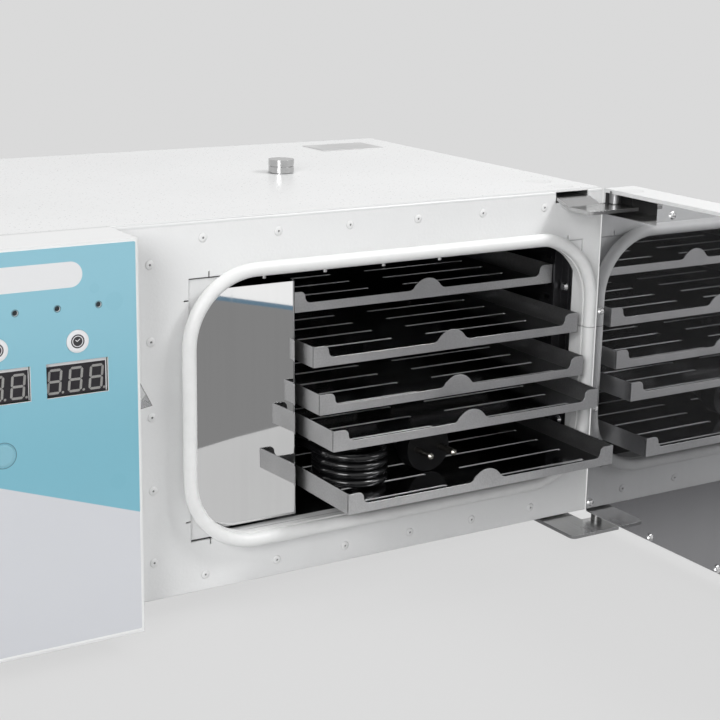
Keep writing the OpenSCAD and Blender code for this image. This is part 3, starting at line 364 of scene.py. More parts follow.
@dataclass(frozen=True)
class PowderCoat(Finish):
    """White baked powder coat with a fine orange peel and round pressed marks."""

    colour: Colour = (0.86, 0.865, 0.865)
    gloss: float = 0.34
    gloss_swing: float = 0.16
    grain: float = 2.0
    depth: float = 0.12
    edge_r: float = 0.9
    cloud_shade: float = 0.975
    # Painted shade: a darker band along the rounded top front bend
    bend_shade_low: Span = (241.6, 242.6)
    bend_shade_run: tuple[Span, Span] = ((-0.6, -0.3), (3.4, 2.4))
    bend_shade_share: float = 0.75
    bend_shade_tone: Colour = (0.62, 0.625, 0.625)
    dents: tuple[Flat, ...] = ()
    dent_r: float = 10.0
    dent_wall: float = 1.6
    dent_depth: float = 0.5
    # Painted shade inside the pressed marks
    dent_shade_share: float = 0.12
    dent_shade_tone: Colour = (0.5, 0.5, 0.5)
    pocket: tuple[Point, Point] | None = None
    pocket_edge: float = 0.2
    # Painted shadow in the strap's pocket: dark near the hinge, fading to pale towards
    # its far end
    pocket_shade_run: Span = (-48, -56)
    pocket_shade_tones: tuple[Colour, Colour] = ((0.07, 0.07, 0.07), (0.88, 0.88, 0.88))
    gap: tuple[Flat, Flat] | None = None
    # Painted shadow in the gap between the collar and the edge of the face's cut-out
    gap_beside: Span = (-0.5, -0.2)
    gap_level: Span = (-1.2, -0.8)
    gap_deep: tuple[Span, Span] = ((1.3, 1.38), (2.3, 2.1))
    gap_run: Span = (-60, -200)
    gap_least: float = 0.3
    gap_shadow_tone: Colour = (0.02, 0.02, 0.02)

    def shade(self, g: Graph) -> None:
        """Builds the coat's nodes.

        Args:
            g: The material's graph.
        """
        x, y, z = g.case_place
        peel = g.noise(self.grain)
        cloud = g.noise(pitch=90.0, detail=3.0).fade(0.35, 0.7)
        ground = g.tint(cloud, self.colour, shaded(self.colour, self.cloud_shade))
        # Painted shade along the rounded top front bend
        bend_shade = z.fade(*self.bend_shade_low) * y.within(*self.bend_shade_run)
        ground = g.tint(bend_shade * self.bend_shade_share, ground, self.bend_shade_tone)
        normal = g.relief(peel, self.depth, g.soft_edge(self.edge_r))
        for centre in self.dents:
            away = disc_distance(x, y, centre)
            pressed = away.fade(self.dent_r, self.dent_r - self.dent_wall)
            normal = g.relief(1 - pressed, self.dent_depth, normal)
            # Painted shade inside the pressed mark
            ground = g.tint(pressed * self.dent_shade_share, ground, self.dent_shade_tone)
        if self.pocket is not None:
            # Painted shadow in the strap's pocket, dark near the hinge and pale towards
            # its far end
            deep = g.tint(y.fade(*self.pocket_shade_run), *self.pocket_shade_tones)
            ground = g.tint(self._in_pocket(g), ground, deep)
        if self.gap is not None:
            # Painted shadow in the gap round the collar
            ground = g.tint(self._in_gap(g), ground, self.gap_shadow_tone)
        g.surface(
            Base_Color=ground,
            Roughness=self.gloss + peel.swing(self.gloss_swing),
            Normal=normal,
            Coat_Weight=0.12,
            Coat_Roughness=0.2,
        )

    def _in_pocket(self, g: Graph) -> Wire:
        """Finds the walls of the pocket for the hinge strap.

        Args:
            g: The material's graph.

        Returns:
            1 on the walls and 0 elsewhere.
        """
        edge = self.pocket_edge
        return math.prod(
            here.within((low, low + edge), (high, high - edge))
            for here, low, high in zip(g.case_place, *self.pocket)
        )

    def _in_gap(self, g: Graph) -> Wire:
        """Finds the gap between the collar and the edge of the face's cut-out.

        Args:
            g: The material's graph.

        Returns:
            How deep in shadow the gap is, and 0 elsewhere.
        """
        x, y, z = g.case_place
        centre, half = self.gap
        beside = (abs(x - centre[0]) - half[0]).fade(*self.gap_beside)
        level = (abs(z - centre[1]) - half[1]).fade(*self.gap_level)
        shadow = beside.most(level) * y.within(*self.gap_deep)
        return shadow * x.fade(*self.gap_run).most(self.gap_least)


@dataclass(frozen=True)
class Metal(Finish):
    """Sheet or turned metal, from polished to satin."""

    colour: Colour
    rough: float
    along: Along = Along.NONE
    streak: float = 0.5
    depth: float = 0.004
    streak_shade: float = 0.82
    patch_share: float = 0.48
    edge_r: float = 0.25

    def shade(self, g: Graph) -> None:
        """Builds the metal's nodes.

        Args:
            g: The material's graph.
        """
        lines = g.noise(self.streak, 3.0, self.along.value)
        patches = g.noise(pitch=24.0, detail=4.0, warp=0.6).fade(0.45, 0.8)
        dark = shaded(self.colour, self.streak_shade)
        g.surface(
            Base_Color=g.tint(lines.fade(0.3, 0.75), self.colour, dark),
            Metallic=1.0,
            Roughness=self.rough
            + lines.swing(self.rough / 2)
            + patches * (self.rough * self.patch_share),
            Normal=g.relief(lines, self.depth, g.soft_edge(self.edge_r)),
        )


@dataclass(frozen=True)
class Polished(Finish):
    """Mirror-bright sheet with faint upright streaks and wiping haze."""

    colour: Colour
    rough: float
    streaks: float
    haze: float
    veil: float = 0.0

    def shade(self, g: Graph) -> None:
        """Builds the sheet's nodes.

        Args:
            g: The material's graph.
        """
        upright = g.noise(pitch=5.0, stretch=(1, 1, 30))
        waves = g.noise(pitch=120.0, detail=1.0, stretch=(1, 1, 2))
        wiped = g.noise(pitch=22.0, detail=4.0, warp=1.2)
        dull = shaded(self.colour, 1 - self.streaks)
        g.surface(
            Base_Color=g.tint(upright.fade(0.35, 0.7), self.colour, dull),
            Metallic=1 - self.veil,
            Roughness=self.rough
            + upright.fade(0.5, 0.8) * self.haze
            + wiped.fade(0.5, 0.9) * self.haze,
            Normal=g.relief(waves, depth=0.006),
        )


@dataclass(frozen=True)
class Silicone(Finish):
    """White silicone profile with a butt joint."""

    colour: Colour = (0.83, 0.835, 0.83)
    joint_z: float = 145.0
    joint_half: Span = (0.55, 0.15)
    joint_side: Span = (-60, -40)
    joint_depth: float = 0.25
    joint_shade: float = 0.55
    bloom_shade: float = 0.97

    def shade(self, g: Graph) -> None:
        """Builds the profile's nodes.

        Args:
            g: The material's graph.
        """
        x, _, z = g.case_place
        joint = abs(z - self.joint_z).fade(*self.joint_half) * x.fade(*self.joint_side)
        bloom = g.noise(pitch=7.0, detail=4.0)
        dusty = shaded(self.colour, self.bloom_shade)
        ground = g.tint(bloom.fade(0.4, 0.75), self.colour, dusty)
        skin = g.relief(g.noise(pitch=0.9), depth=0.012)
        g.surface(
            Base_Color=g.tint(joint, ground, shaded(self.colour, self.joint_shade)),
            Roughness=0.42 + bloom.swing(0.2),
            Normal=g.relief(1 - joint, self.joint_depth, skin),
            Subsurface_Weight=0.08,
            Subsurface_Radius=(0.006, 0.006, 0.006),
            Subsurface_Scale=0.4,
        )


@dataclass(frozen=True)
class Moulding(Finish):
    """Moulded plastic or rubber with a spark-eroded grain."""

    colour: Colour = (0.02, 0.02, 0.021)
    rough: float = 0.42
    grain: float = 0.6
    depth: float = 0.03
    wear_gain: float = 1.5
    wear_lift: float = 0.008

    def shade(self, g: Graph) -> None:
        """Builds the moulding's nodes.

        Args:
            g: The material's graph.
        """
        texture = g.noise(self.grain, 3.0)
        worn = g.noise(pitch=18.0, detail=4.0)
        light = tuple(c * self.wear_gain + self.wear_lift for c in self.colour)
        g.surface(
            Base_Color=g.tint(worn.fade(0.5, 0.85), self.colour, light),
            Roughness=self.rough + texture.swing(0.2),
            Normal=g.relief(texture, self.depth, g.soft_edge(radius=0.5)),
        )


@dataclass(frozen=True)
class PlugBody(Finish):
    """Black plug moulding whose pins are nickelled brass."""

    body: Colour = (0.005, 0.005, 0.0055)
    nickel: Colour = (0.45, 0.43, 0.39)
    pins_end: float = -8.4

    def shade(self, g: Graph) -> None:
        """Builds the plug's nodes.

        Args:
            g: The material's graph.
        """
        _, y, _ = g.case_place
        pin = (y - self.pins_end).fade(0.05, -0.05)
        texture = g.noise(pitch=0.7, detail=3.0)
        g.surface(
            Base_Color=g.tint(pin, self.body, self.nickel),
            Metallic=pin,
            Roughness=0.45 - pin * 0.2 + texture.swing(0.12),
            Normal=g.relief(texture, depth=0.02, below=g.soft_edge(radius=0.5)),
            Specular_IOR_Level=0.2,
        )


@dataclass(frozen=True)
class Sheath(Finish):
    """Glossy black flexible sheath with faint extrusion lines."""

    colour: Colour = (0.005, 0.005, 0.0055)
    dusty: Colour = (0.014, 0.014, 0.015)

    def shade(self, g: Graph) -> None:
        """Builds the sheath's nodes.

        Args:
            g: The material's graph.
        """
        drawn = g.noise(pitch=1.6, warp=0.8)
        dust = g.noise(pitch=5.0, detail=5.0)
        g.surface(
            Base_Color=g.tint(dust.fade(0.55, 0.85), self.colour, self.dusty),
            Roughness=0.2 + dust.fade(0.5, 0.8) * 0.12,
            Normal=g.relief(drawn, depth=0.02),
            Specular_IOR_Level=0.4,
            Coat_Weight=0.3,
            Coat_Roughness=0.06,
        )


@dataclass(frozen=True)
class Fibre(Finish):
    """Pale mineral wool."""

    colour: Colour = (0.62, 0.58, 0.5)
    deep_shade: float = 0.6

    def shade(self, g: Graph) -> None:
        """Builds the wool's nodes.

        Args:
            g: The material's graph.
        """
        strands = g.noise(pitch=1.2, detail=5.0, stretch=(6, 1, 1), warp=2.0)
        tufts = g.noise(pitch=9.0, detail=3.0)
        deep = shaded(self.colour, self.deep_shade)
        g.surface(
            Base_Color=g.tint(strands.fade(0.3, 0.7), deep, self.colour),
            Roughness=0.95,
            Normal=g.relief(strands * 0.6 + tufts * 0.4, depth=0.8),
        )


@dataclass(frozen=True)
class PrintedFilm(Finish):
    """Front film: two printed fields in a white border, keys' rings and lamps."""

    blue_top: Colour = (0.287, 0.558, 0.664)
    blue_low: Colour = (0.206, 0.48, 0.585)
    blue_run: Span = (110, 235)
    grey: Colour = (0.645, 0.657, 0.69)
    white: Colour = (0.88, 0.885, 0.88)
    face_y: float = -40.95
    centre: Flat = (-441.5, 123.1)
    half: Flat = (60.7, 120.3)
    corner_r: float = 1.0
    # Each edge of the blue field: x and z of a place on it, and its slope
    edges: tuple[Point, Point] = ((-502.5, 119.7, -0.34), (-466.6, 107.5, -0.326))
    # Each faint round mark: x, z and radius
    marks: tuple[Point, ...] = (
        (-406.6, 218.2, 3.0),
        (-394.5, 209.4, 5.5),
        (-394.4, 99.9, 5.0),
    )
    mark_share: float = 0.1
    mark_tone: Colour = (0.15, 0.4, 0.5)
    field_centre: Flat = (-441.9, 227.4)
    field_half: Flat = (28.4, 7.5)
    field_r: float = 7.4
    field_tone: Colour = (0.80, 0.805, 0.815)
    ring_centre: Flat = (-463.8, 126.4)
    ring_r: float = 7.6
    ring_line: Span = (0.3, 0.14)
    ring_share: float = 0.75
    ring_tone: Colour = (0.04, 0.06, 0.08)
    lamp_first: Flat = (-404.15, 208.4)
    lamp_pitch: float = -24.9
    lamp_count: int = 4
    lamp_rim: Span = (2.4, 2.1)
    lamp_share: float = 0.6
    lamp_tone: Colour = (0.05, 0.08, 0.1)

    def shade(self, g: Graph) -> None:
        """Builds the film's nodes.

        Args:
            g: The material's graph.
        """
        x, y, z = g.case_place
        left, right = (high + (x - there) * slope for there, high, slope in self.edges)
        blue = g.tint(z.fade(*self.blue_run), self.blue_low, self.blue_top)
        ground = g.tint((z - left.least(right)).fade(-0.3, 0.3), self.grey, blue)
        border = g.box_distance(self.centre, self.half, self.corner_r)
        printed = border.fade(0.15, -0.15) * (y - self.face_y).fade(0.04, -0.04)
        fine = g.noise(pitch=0.35)
        g.surface(
            Base_Color=g.tint(printed, self.white, self._marked(g, ground)),
            Roughness=0.36 + fine.swing(0.1),
            Normal=g.relief(fine, depth=0.006),
        )

    def _marked(self, g: Graph, ground: Wire) -> Wire:
        """Prints the faint marks, the pale field, the key's ring and the lamps' rims.

        Args:
            g: The material's graph.
            ground: The colour below.

        Returns:
            The colour.
        """
        x, _, z = g.case_place
        for there, high, size in self.marks:
            spot = disc_distance(x, z, (there, high)).fade(size + 0.3, size - 0.3)
            ground = g.tint(spot * self.mark_share, ground, self.mark_tone)
        pale = g.box_distance(self.field_centre, self.field_half, self.field_r)
        ground = g.tint(pale.fade(0.1, -0.2), ground, self.field_tone)
        ring = abs(disc_distance(x, z, self.ring_centre) - self.ring_r)
        share = ring.fade(*self.ring_line) * self.ring_share
        ground = g.tint(share, ground, self.ring_tone)
        there, high = self.lamp_first
        for i in range(self.lamp_count):
            away = disc_distance(x, z, (there + i * self.lamp_pitch, high))
            share = away.fade(*self.lamp_rim) * self.lamp_share
            ground = g.tint(share, ground, self.lamp_tone)
        return ground


@dataclass(frozen=True)
class DisplayWindow(Finish):
    """Smoked window of a numeric display, with a white bezel above and at the right."""

    smoke: Colour = (0.024, 0.022, 0.026)
    dusty: Colour = (0.03, 0.028, 0.032)
    bezel: Colour = (0.8, 0.8, 0.81)
    top: float = 174.4
    rights: tuple[float, float] = (-446.9, -399.9)
    bezel_edge: float = 0.1
    bezel_end: Span = (6, 5)

    def shade(self, g: Graph) -> None:
        """Builds the window's nodes.

        Args:
            g: The material's graph.
        """
        x, _, z = g.case_place
        dust = g.noise(pitch=2.2, detail=4.0)
        smoked = g.tint(dust.fade(0.4, 0.8), self.smoke, self.dusty)
        soft = self.bezel_edge
        bezel = (z - self.top).fade(-soft, soft)
        for right in self.rights:
            past = x - right
            bezel = bezel.most(past.within((-soft, soft), self.bezel_end))
        g.surface(
            Base_Color=g.tint(bezel, smoked, self.bezel),
            Roughness=0.32 + dust.fade(0.4, 0.8) * 0.06,
            Normal=g.relief(dust, depth=0.004),
            Specular_IOR_Level=0.3,
        )


@dataclass(frozen=True)
class Diffuser(Finish):
    """Milky or smoky diffuser of an unlit light."""

    colour: Colour
    cloudy: Colour
    clouds: Span
    grain: float
    depth: float
    rough: float
    rough_gain: float = 0.0
    coat: float = 0.0

    def shade(self, g: Graph) -> None:
        """Builds the diffuser's nodes.

        Args:
            g: The material's graph.
        """
        frost = g.noise(self.grain, 3.0)
        g.surface(
            Base_Color=g.tint(frost.fade(*self.clouds), self.colour, self.cloudy),
            Roughness=self.rough + frost * self.rough_gain,
            Normal=g.relief(frost, self.depth),
            Coat_Weight=self.coat,
        )


@dataclass(frozen=True)
class KeyCap(Finish):
    """Round key under the film, with its plain printed sign."""

    centre: Flat
    ground: Colour = (0.80, 0.805, 0.82)
    ink: Colour = (0.035, 0.033, 0.037)
    has_clock: bool = True
    ring_r: float = 3.7
    ring_line: Span = (0.5, 0.3)
    clock_r: Span = (2.95, 2.75)
    hand_shift: float = 0.3
    hand_slope: float = 0.75
    hand_line: Span = (0.34, 0.2)
    hand_end: Span = (1.5, 1.3)
    dome: Span = (6.6, 5.4)
    dome_depth: float = 0.25

    def shade(self, g: Graph) -> None:
        """Builds the key's nodes.

        Args:
            g: The material's graph.
        """
        x, _, z = g.case_place
        fine = g.noise(pitch=0.4)
        away = disc_distance(x, z, self.centre)
        skin = g.relief(fine, depth=0.005)
        g.surface(
            Base_Color=self._clock(g, away) if self.has_clock else self.ground,
            Roughness=0.38 + fine.swing(0.1),
            Normal=g.relief(away.fade(*self.dome), self.dome_depth, skin),
        )

    def _clock(self, g: Graph, away: Wire) -> Wire:
        """Prints a ring and a dark clock with two pale hands.

        Args:
            g: The material's graph.
            away: The surface's distance from the key's centre.

        Returns:
            The colour.
        """
        x, _, z = g.case_place
        ring = abs(away - self.ring_r).fade(*self.ring_line)
        printed = g.tint(ring, self.ground, self.ink)
        printed = g.tint(away.fade(*self.clock_r), printed, self.ink)
        dx, dz = x - self.centre[0], z - self.centre[1]
        line = abs(dz - abs(dx + self.hand_shift) * self.hand_slope)
        hands = line.fade(*self.hand_line) * abs(dx).fade(*self.hand_end)
        return g.tint(hands, printed, self.ground)


@dataclass(frozen=True)
class CircuitBoard(Finish):
    """Green board with lighter copper lines."""

    mask: Colour = (0.012, 0.11, 0.045)
    copper: Colour = (0.05, 0.22, 0.09)
    lines_per_mm: Flat = (0.45, 0.4)

    def shade(self, g: Graph) -> None:
        """Builds the board's nodes.

        Args:
            g: The material's graph.
        """
        x, _, z = g.case_place
        across, upright = (
            abs((place * count).fraction() - 0.5)
            for place, count in zip((x, z), self.lines_per_mm)
        )
        line = across.fade(0.1, 0.06).most(upright.fade(0.08, 0.04))
        field = g.noise(pitch=9.0, detail=1.0).fade(0.48, 0.52)
        g.surface(
            Base_Color=g.tint(line * field, self.mask, self.copper),
            Roughness=0.35 + field * 0.08,
            Normal=g.relief(line * field, depth=0.05),
        )


@dataclass(frozen=True)
class RivetHead(Finish):
    """White-coated pop rivet, with painted shade in its open centre."""

    colour: Colour = (0.84, 0.84, 0.84)
    # Painted shade for the floor of the rivet's hole
    hole_shade: Colour = (0.12, 0.12, 0.12)
    hole_shade_share: float = 0.85
    rim: Span = (-0.5, -0.45)
    level: Span = (-0.975, -0.995)

    def shade(self, g: Graph) -> None:
        """Builds the rivet's nodes.

        Args:
            g: The material's graph.
        """
        _, y, _ = g.case_place
        # Painted shade on the front-facing floor of the hole, sunk below the head's top
        hole_shade = g.facing(1).fade(*self.level) * y.fade(*self.rim)
        fleck = g.noise(pitch=0.5, detail=3.0)
        g.surface(
            Base_Color=g.tint(hole_shade * self.hole_shade_share, self.colour, self.hole_shade),
            Roughness=0.34 + fleck.swing(0.12),
            Normal=g.relief(fleck, depth=0.02, below=g.soft_edge(radius=0.4)),
        )


@dataclass(frozen=True)
class TraySteel(Finish):
    """Tray sheet: fine-grained satin walls; smooth floor in painted dark reflection."""

    wall: Colour = (0.60, 0.60, 0.605)
    # The floor is darker than the walls: a painted dark reflection of the chamber
    floor: Colour = (0.30, 0.30, 0.31)
    worn_shade: float = 0.8

    def shade(self, g: Graph) -> None:
        """Builds the sheet's nodes.

        Args:
            g: The material's graph.
        """
        # Faces that lie flat, the floors, take the floor's painted dark reflection
        # colour
        flat = abs(g.facing(2)).fade(0.6, 0.9)
        grain = g.noise(pitch=0.7, detail=4.0, stretch=(2.5, 1, 1))
        cloud = g.noise(pitch=26.0, detail=3.0).fade(0.3, 0.75)
        speck = g.noise(pitch=1.1, detail=3.0).fade(0.35, 0.65)
        worn = shaded(self.wall, self.worn_shade)
        satin = g.tint(cloud * 0.5 + speck * 0.5, self.wall, worn)
        g.surface(
            Base_Color=g.tint(flat, satin, self.floor),
            Metallic=1.0,
            Roughness=0.36 - flat * 0.22 + grain.swing(0.2),
            Normal=g.relief(grain, depth=0.012, below=g.soft_edge(radius=0.3)),
        )


COAT = PowderCoat("white_powder_coat")
COAT_TOP = PowderCoat(
    "white_powder_coat_cover",
    gloss=0.3,
    depth=0.02,
    dents=((-26.4, 15.8), (-25.8, 42.3)),
)
COAT_DOOR = PowderCoat(
    "white_powder_coat_door",
    dents=((2.2, -26.9),),
    pocket=((-6.6, -67.6, 227.8), (19.4, -9.6, 243.9)),
)
COAT_COLLAR = PowderCoat(
    "white_powder_coat_collar", gap=((-171.4, 121.5), (156.2, 86.9))
)
SHEET = Metal("satin_stainless", (0.40, 0.40, 0.405), 0.3, Along.X)
LINER = Metal("dark_oven_stainless", (0.10, 0.10, 0.105), 0.34, Along.Y)
TRAY = TraySteel("tray_stainless")
STRAP = Metal("polished_strap_steel", (0.52, 0.52, 0.52), 0.2, Along.Y)
PIN = Metal("dark_pin_steel", (0.22, 0.22, 0.22), 0.32, Along.Z, 0.3)
BRIGHT = Metal("chromed_steel", (0.72, 0.72, 0.725), 0.14)
CAP = Metal("turned_steel", (0.53, 0.53, 0.53), 0.1, Along.X, 0.3)
MIRROR_DOOR = Polished(
    "door_mirror_steel", (0.49, 0.49, 0.50), 0.02, streaks=0.02, haze=0.01, veil=0.035
)
MIRROR_COVER = Polished(
    "cover_mirror_steel", (0.72, 0.72, 0.72), 0.02, streaks=0.015, haze=0.012
)
ELEMENT = Metal("heater_sheath", (0.09, 0.08, 0.075), 0.5, Along.NONE, 0.8, 0.03)
MOTOR = Metal("motor_steel", (0.22, 0.22, 0.23), 0.4, Along.Z, 0.6, 0.02)
PLATE = Metal("bare_plate_aluminium", (0.70, 0.70, 0.70), 0.36, Along.X, 0.5, 0.01)
GASKET = Silicone("white_silicone")
WOOL = Fibre("mineral_wool")
FILM = PrintedFilm("printed_film")
WINDOW = DisplayWindow("smoked_window")
DIGIT = Diffuser(
    "unlit_segment",
    colour=(0.33, 0.325, 0.315),
    cloudy=shaded((0.33, 0.325, 0.315), 0.85),
    clouds=(0.3, 0.7),
    grain=0.8,
    depth=0.01,
    rough=0.45,
)
KEY_LEFT = KeyCap("key_left", (-465.5, 188.2))
KEY_RIGHT = KeyCap("key_right", (-417.5, 188.2))
KEY_PROGRAM = KeyCap(
    "key_program", FILM.ring_centre, (0.24, 0.49, 0.585), has_clock=False
)
LENS = Diffuser(
    "lamp_lens",
    colour=(0.012, 0.022, 0.028),
    cloudy=(0.05, 0.06, 0.065),
    clouds=(0.3, 0.8),
    grain=0.6,
    depth=0.02,
    rough=0.12,
    rough_gain=0.1,
    coat=0.6,
)
BOARD = CircuitBoard("circuit_board")
RIVET = RivetHead("rivet_head")
RUBBER = Moulding("black_rubber", (0.018, 0.018, 0.018), 0.7, 0.9, 0.06)
PLASTIC = Moulding("black_moulding")
PLUG = PlugBody("plug_moulding")
SHEATH = Sheath("black_sheath")


def give(finish: Finish, *names: str) -> None:
    """Gives nodes of the frame a finish.

    Args:
        finish: The finish to give.
        names: The nodes' names.
    """
    made = finish.material()
    for name in names:
        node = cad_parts[name]
        if not node.material_slots:
            node.data.materials.append(made)
        for slot in node.material_slots:
            slot.material = made
        LOG.info("dressed %s with %s", name, finish.name)


def show(name: str, data: bpy.types.ID) -> bpy.types.Object:
    """Makes an object in the scene.

    Args:
        name: Its name.
        data: Its mesh, curve, camera or light.

    Returns:
        The object.
    """
    made = bpy.data.objects.new(name, data)
    bpy.context.scene.collection.objects.link(made)
    return made


# Viewpoint and studio


@dataclass
class Viewpoint:
    """The camera, at the photograph's viewing angle."""

    place: Point = (-0.51984, -0.84217, 0.42836)
    yaw: float = 31.754
    pitch: float = -14.728
    roll: float = 1.054
    lens: float = 80.0
    sensor: float = 36.0
    clip: tuple[float, float] = (0.02, 100.0)

    def build(self) -> None:
        """Makes the camera the scene's own."""
        yaw, pitch, roll = (math.radians(a) for a in (self.yaw, self.pitch, self.roll))
        flat = math.cos(pitch)
        ahead = Vector((math.sin(yaw) * flat, math.cos(yaw) * flat, math.sin(pitch)))
        level = Vector((math.cos(yaw), -math.sin(yaw), 0))
        raised = level.cross(ahead)
        right = math.cos(roll) * level + math.sin(roll) * raised
        up = math.cos(roll) * raised - math.sin(roll) * level
        data = bpy.data.cameras.new("viewpoint")
        data.lens, data.sensor_width = self.lens, self.sensor
        data.clip_start, data.clip_end = self.clip
        made = show("viewpoint", data)
        turn = Matrix((right, up, -ahead)).transposed().to_4x4()
        made.matrix_world = Matrix.Translation(self.place) @ turn
        bpy.context.scene.camera = made
        LOG.info("built the viewpoint")


@dataclass
class Lamp:
    """A soft box, with its places and size in metres and its power in watts."""

    name: str
    place: Point
    target: Point
    size: Flat
    power: float

    def build(self) -> None:
        """Makes the lamp and aims it."""
        data = bpy.data.lights.new(self.name, "AREA")
        data.shape, data.size, data.size_y = "RECTANGLE", *self.size
        data.energy = self.power
        away = Vector(self.place) - Vector(self.target)
        turn = away.to_track_quat("Z", "Y").to_matrix().to_4x4()
        show(self.name, data).matrix_world = Matrix.Translation(self.place) @ turn
        LOG.info("built lamp %s", self.name)


@dataclass
class Card:
    """A flat studio card on the floor that only shows in reflections."""

    name: str
    outline: tuple[Flat, ...]
    tone: Colour
    height: float = 0.5
    # An optional painted shadow, which darkens the card's tone over a run of y
    shadow_run: Span | None = None
    shadow_tone: Colour = (0.13, 0.13, 0.135)

    def build(self) -> None:
        """Makes the card from its outline of case places, in mm."""
        bottom = self.height - CASE_CORNER[2]
        corners = [tuple(at(x, y, bottom)) for x, y in self.outline]
        mesh = bpy.data.meshes.new(self.name)
        mesh.from_pydata(corners, [], [tuple(range(len(corners)))])
        made = show(self.name, mesh)
        material, g = blank_material(self.name)
        tone: Tint = self.tone
        if self.shadow_run is not None:
            _, y, _ = g.case_place
            tone = g.tint(y.fade(*self.shadow_run), self.tone, self.shadow_tone)
        g.finish(g.wire(g.node("ShaderNodeEmission", inputs={"Color": tone})))
        mesh.materials.append(material)
        made.visible_camera = False
        made.visible_diffuse = False
        made.visible_shadow = False
        LOG.info("built card %s", self.name)


# Borders between the reflector cards, each towards the machine
MID_EDGE: tuple[Flat, ...] = ((120, -1290), (219, -1030), (262, -915))
LINE_EDGE: tuple[Flat, ...] = ((140, -1315), (235, -1061), (278, -946), (316, -846))


@dataclass
class Studio:
    """Pale floor and backdrop, soft boxes and reflector cards."""

    tone: Colour = (0.70, 0.70, 0.70)
    ambient: float = 0.1
    floor_tone: Colour = (0.74, 0.74, 0.74)
    floor_half: float = 40.0
    middle: Flat = (-227.0, 60.0)
    shadow_r: float = 900.0
    shadow_share: float = 0.1
    lamps: tuple[Lamp, ...] = (
        Lamp("overhead", (0.5, 0.25, 2.4), (0.15, 0.1, 0.0), (2.4, 2.0), 31.0),
        Lamp("front_left", (-2.1, -1.7, 1.3), (0.0, 0.0, 0.15), (1.3, 1.3), 49.0),
        Lamp("high_right", (1.2, -1.0, 1.7), (0.0, 0.0, 0.15), (0.6, 0.6), 21.0),
    )
    cards: tuple[Card, ...] = (
        Card(
            "card_mid",
            (
                (-330, -250),
                (-200, -330),
                (-147, -357),
                (-101, -374),
                (-49, -388),
                (0, -393),
                (120, -398),
                (640, -398),
                *reversed(MID_EDGE),
                (-500, -1290),
            ),
            (0.295, 0.295, 0.295),
        ),
        Card(
            "card_line",
            (*MID_EDGE, (300, -815), *reversed(LINE_EDGE)),
            (0.15, 0.25, 0.34),
        ),
        Card(
            "card_bright",
            (*LINE_EDGE, (800, -1500), (400, -2400)),
            (1.15, 1.15, 1.15),
        ),
        # Painted shadow of the machine on the floor, seen only in reflections: grey in
        # front of the machine and darkest under it
        Card(
            "card_foot_shadow",
            ((-520, -130), (60, -130), (60, 320), (-520, 320)),
            (0.39, 0.39, 0.395),
            shadow_run=(-100, 90),
        ),
    )

    def build(self) -> None:
        """Makes the world, the floor, the lamps and the cards."""
        self._world()
        self._floor()
        for part in (*self.lamps, *self.cards):
            part.build()

    def _seen(self, g: Graph) -> Wire:
        """Tells rays that see the background, itself or mirrored, from the rest.

        Args:
            g: The material's or the world's graph.

        Returns:
            1 for such rays and 0 for others.
        """
        path = g.node("ShaderNodeLightPath")
        camera, glossy, clear = (
            g.wire(path, f"Is {kind} Ray")
            for kind in ("Camera", "Glossy", "Transmission")
        )
        return (camera + glossy + clear).least(1.0)

    def _world(self) -> None:
        """Makes an even pale surround."""
        world = bpy.data.worlds.new("surround")
        world.use_nodes = True
        bpy.context.scene.world = world
        g = Graph(world.node_tree)
        light = {"Color": (1.0, 1.0, 1.0), "Strength": self.ambient}
        lit = g.node("ShaderNodeBackground", inputs=light)
        seen = g.node("ShaderNodeBackground", inputs={"Color": self.tone})
        both = {0: self._seen(g), 1: g.wire(lit), 2: g.wire(seen)}
        mixed = g.node("ShaderNodeMixShader", inputs=both)
        g.finish(g.wire(mixed), "ShaderNodeOutputWorld")

    def _floor(self) -> None:
        """Makes a plain matt floor of one even tone that keeps a faint shadow."""
        h = self.floor_half
        corners = [(-h, -h, 0), (h, -h, 0), (h, h, 0), (-h, h, 0)]
        mesh = bpy.data.meshes.new("floor")
        mesh.from_pydata(corners, [], [(0, 1, 2, 3)])
        made = show("floor", mesh)
        material, g = blank_material("pale_floor")
        matt = g.node("ShaderNodeBsdfDiffuse", inputs={"Color": self.floor_tone})
        plain = g.node("ShaderNodeEmission", inputs={"Color": self.tone})
        x, y, _ = g.case_place
        away = disc_distance(x, y, self.middle)
        near = away.fade(self.shadow_r, self.shadow_r / 2)
        seen = self._seen(g) * (1 - near * self.shadow_share)
        both = {0: seen, 1: g.wire(matt), 2: g.wire(plain)}
        g.finish(g.wire(g.node("ShaderNodeMixShader", inputs=both)))
        mesh.materials.append(material)
        LOG.info("built the floor")


# The machine. Sizes are in mm and places are case places.


